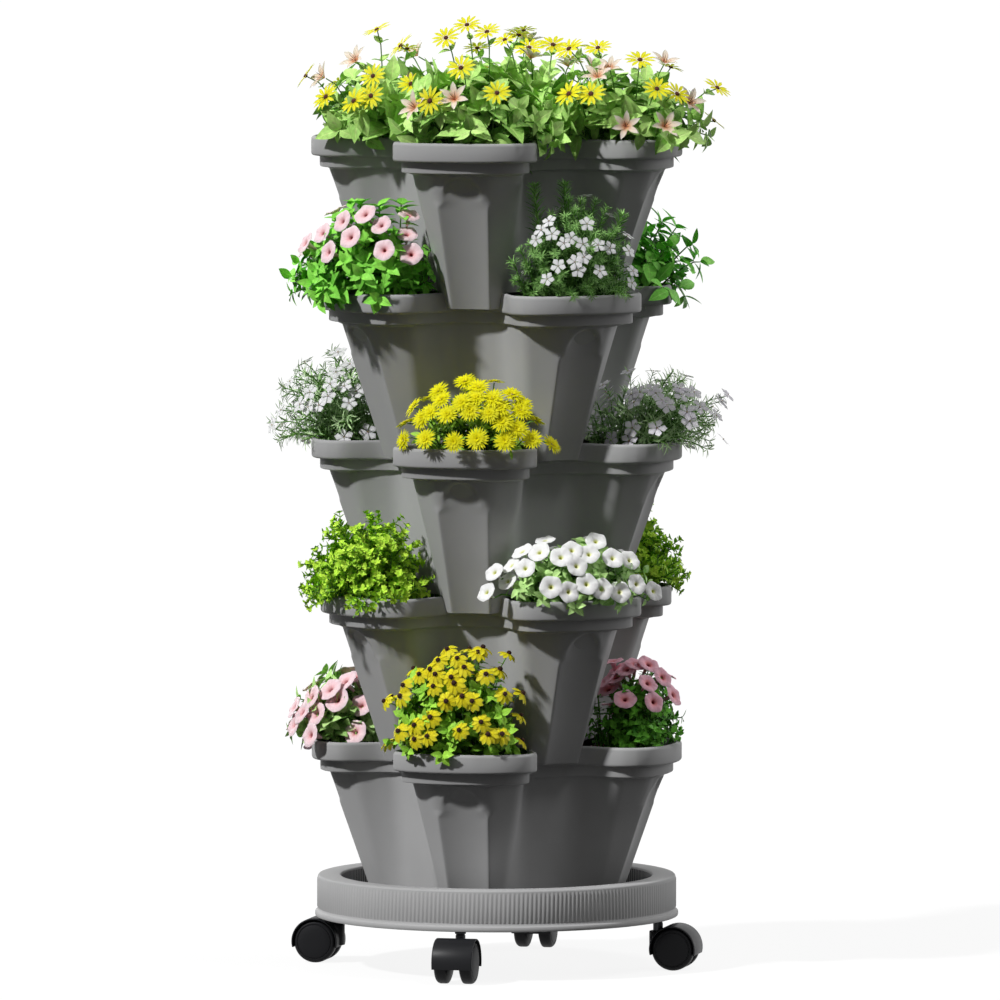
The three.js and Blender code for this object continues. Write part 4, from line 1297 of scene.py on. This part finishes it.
# Yellow daisies: a low dome almost covered with full, many-petalled pure yellow flowers.
yellow_at = [
    (465, 381), (478, 387), (441, 399), (438, 391), (470, 410), (413, 407), (499, 407), (502, 421),
    (425, 439), (454, 442), (477, 439), (505, 441), (532, 439), (552, 444), (403, 440), (521, 410),
    (476, 397), (430, 412), (512, 394), (523, 403), (492, 398), (461, 402), (421, 419), (489, 413),
    (517, 429), (447, 414),
]
outer_yellow = petal(0.0098, 0.0019, 1.2, 0.6, fold=0.2, curl=0.05, rows=3, start=0.0012)
inner_yellow = petal(0.0066, 0.0019, 1.2, 0.6, fold=0.2, rows=2, start=0.0008)
core_yellow = petal(0.0040, 0.0013, 1.2, 0.6, fold=0.2, rows=2, start=0.0002)
yellow_rings = [(outer_yellow, 24, 0.02), (inner_yellow, 19, 0.2, 0.1), (core_yellow, 12, 0.6, 0.2)]
full_yellow = copied([petal_ring(*ring) for ring in yellow_rings])
yellow_leaf = blade(0.020, 0.0062, 1.0, 0.7, fold=0.3, curl=0.2)
yellow_colours = [(0.0, (0.92, 0.72, 0.003)), (0.4, (1.0, 0.93, 0.006)), (1.0, (1.0, 0.98, 0.008))]
yellow_skins = [
    leaf_skin("yellow_daisy_leaf", (0.05, 0.19, 0.012), (0.42, 0.74, 0.09)),
    stalk_green,
    petal_skin("pure_yellow_petal", yellow_colours, 0.05),
]
for place, pixels, hidden in (("front", yellow_at, 26), ("back", [], 34)):
    plant = Plant(3, place)
    for shoot in plant.shoots(40, 0.05, (0.5, 0.78)):
        plant.leaves(yellow_leaf, shoot, 0.010, start=0.3, size=(0.7, 1.0))
    plant.flowers(full_yellow, pixels, hidden, (1.0, 1.15), 0.96, 0.001, nod=0.15)
    plant.settle("yellow_daisy", "plant_yellow_daisy", yellow_skins)

# Boxwood: a small evergreen shrub. Upright sprigs carry pairs of tiny lime-green leaves, crossed at each
# joint, with a yellow-green rosette on every tip.
box_leaf = blade(0.0080, 0.0052, 1.0, 0.7, fold=0.3, curl=0.1, rows=3)
box_green = leaf_skin("boxwood_leaf", (0.13, 0.42, 0.01), (0.66, 1.0, 0.09), 0.15, 0.38, 1.0)
for place in ("left_front", "right_back"):
    plant = Plant(2, place, 1.06)
    luck = plant.luck
    for foot, bend, tip in plant.shoots(130, 0.2, (0.5, 0.97), 0.0012, 0.0007):
        plant.leaves(
            box_leaf, (foot, bend, tip), 0.0046, 0.3, 0.7, step=1.45, size=(0.8, 1.15), light=0.3, tuft=6
        )
        for share in (0.55, 0.7, 0.84):
            at = bezier(foot, bend, tip, share)
            side = Vector([luck.uniform(-1, 1) for _ in range(3)]) + plant.outward(tip) * 0.8 + upwards * 0.4
            twig_tip = at + side.normalized() * luck.uniform(0.012, 0.02)
            twig = (at, at.lerp(twig_tip, 0.5) + Vector((0, 0, 0.001)), twig_tip)
            shape = bent(twig_tube, *twig, 0.0006, 0.0005)
            if plant.clear(shape):
                plant.stalks.append(shape)
                plant.leaves(box_leaf, twig, 0.0044, 0.2, 0.7, step=1.5, size=(0.75, 1.1), light=0.3, tuft=6)
    plant.settle("boxwood", "plant_boxwood", [box_green, stalk_green])

# Leafy herb: long arching shoots with crossed pairs of pointed leaves, at the right edge of the fourth pot.
herb_sprigs_at = [
    (662, 222), (676, 228), (692, 244), (700, 262), (668, 246), (672, 300), (684, 296), (660, 288),
    (652, 262),
]
herb_leaf = blade(0.034, 0.0150, 0.85, 0.85, fold=0.2, curl=0.25, rows=6)
herb_green = leaf_skin("herb_leaf", (0.09, 0.50, 0.02), (0.38, 0.95, 0.17), rib=0.3)
plant = Plant(4, "right_back")
for shoot in plant.shoots(34, 0.3, (0.55, 0.9)) + plant.sprigs(herb_sprigs_at, 0.85):
    plant.leaves(herb_leaf, shoot, 0.017, 0.2, 0.25, size=(0.7, 1.1), light=0.65, open_tip=0.6)
plant.settle("leafy_herb", "plant_leafy_herb", [herb_green, stalk_green])

# Top pot: one bed of broad pale-green leaves, with starry yellow daisies on tall stalks and peach lilies
# among them. Each pocket has its stars, its lilies and how many more stars on the sides that aren't seen.
top_bed = {
    "front": (
        [(467, 25), (487, 32), (446, 38), (430, 101), (497, 93), (401, 46), (461, 68)],
        [(416, 108), (455, 100)],
        9,
    ),
    "left": (
        [(377, 30), (326, 97), (371, 96), (354, 101), (373, 76), (306, 76), (411, 84)],
        [(325, 78), (357, 62)],
        9,
    ),
    "right": (
        [(569, 49), (598, 48), (569, 94), (591, 94), (657, 89), (677, 94), (717, 88), (640, 60)],
        [(610, 70), (664, 64), (664, 127), (626, 127), (688, 104), (598, 78)],
        9,
    ),
    "back": ([(505, 40), (529, 48), (553, 45)], [(418, 56), (590, 68)], 15),
}
star_petal = petal(0.0126, 0.0034, 1.25, 0.6, fold=0.15, curl=0.1, rows=4, start=0.0018)
star_daisy = flower_of(petal_ring(star_petal, 13, 0.12), 0.0025, 0.0016)
lily_petal = blade(0.0175, 0.0066, 1.15, 0.7, fold=0.35, curl=0.3, finish=other_petal_finish)
lily_stamen = blade(0.0120, 0.0006, 0.9, 0.4, rows=2, finish=eye_finish)
lily = copied([petal_ring(lily_petal, 6, 0.75), petal_ring(lily_stamen, 5, 1.2, 0.3)])
broad_leaf = blade(0.039, 0.0235, 0.72, 0.98, fold=0.3, curl=0.28, rows=6)
star_colours = [(0.0, (0.85, 0.55, 0.004)), (0.3, (1.0, 0.88, 0.010)), (1.0, (1.0, 0.96, 0.04))]
peach_colours = [
    (0.0, (0.70, 0.12, 0.03)), (0.2, (0.92, 0.42, 0.22)), (0.5, (1.0, 0.74, 0.58)), (1.0, (1.0, 0.88, 0.78)),
]
top_skins = [
    leaf_skin("broad_leaf", (0.10, 0.34, 0.025), (0.62, 0.97, 0.28), rib=0.3),
    stalk_green,
    petal_skin("star_petal", star_colours, 0.06),
    grainy("star_eye", (0.03, 0.008, 0.012), (0.16, 0.05, 0.03), 1600.0, 0.8),
    petal_skin("peach_petal", peach_colours),
]
for place, (stars_at, lilies_at, hidden) in top_bed.items():
    plant = Plant(5, place)
    tall = plant.half.z
    plant.half.z = tall * 0.72
    for shoot in plant.shoots(54, 0.06, (0.55, 0.92)):
        plant.leaves(broad_leaf, shoot, 0.016, lean=0.35, size=(0.5, 1.0), tuft=4, open_tip=0.4)
    plant.half.z = tall
    stalks = plant.flowers(star_daisy, stars_at, hidden, (0.95, 1.1), 0.97, 0.001, droop=-0.1, nod=0.1)
    stalks += plant.flowers(lily, lilies_at, 5, (0.8, 1.0), 0.9, 0.001, droop=0.0, nod=0.2)
    for stalk in stalks:
        plant.leaves(broad_leaf, stalk, 0.02, start=0.45, lean=0.6, size=(0.28, 0.45), light=0.3, tuft=0)
    plant.settle("daisy_and_lily", "plant_daisy_and_lily", top_skins)
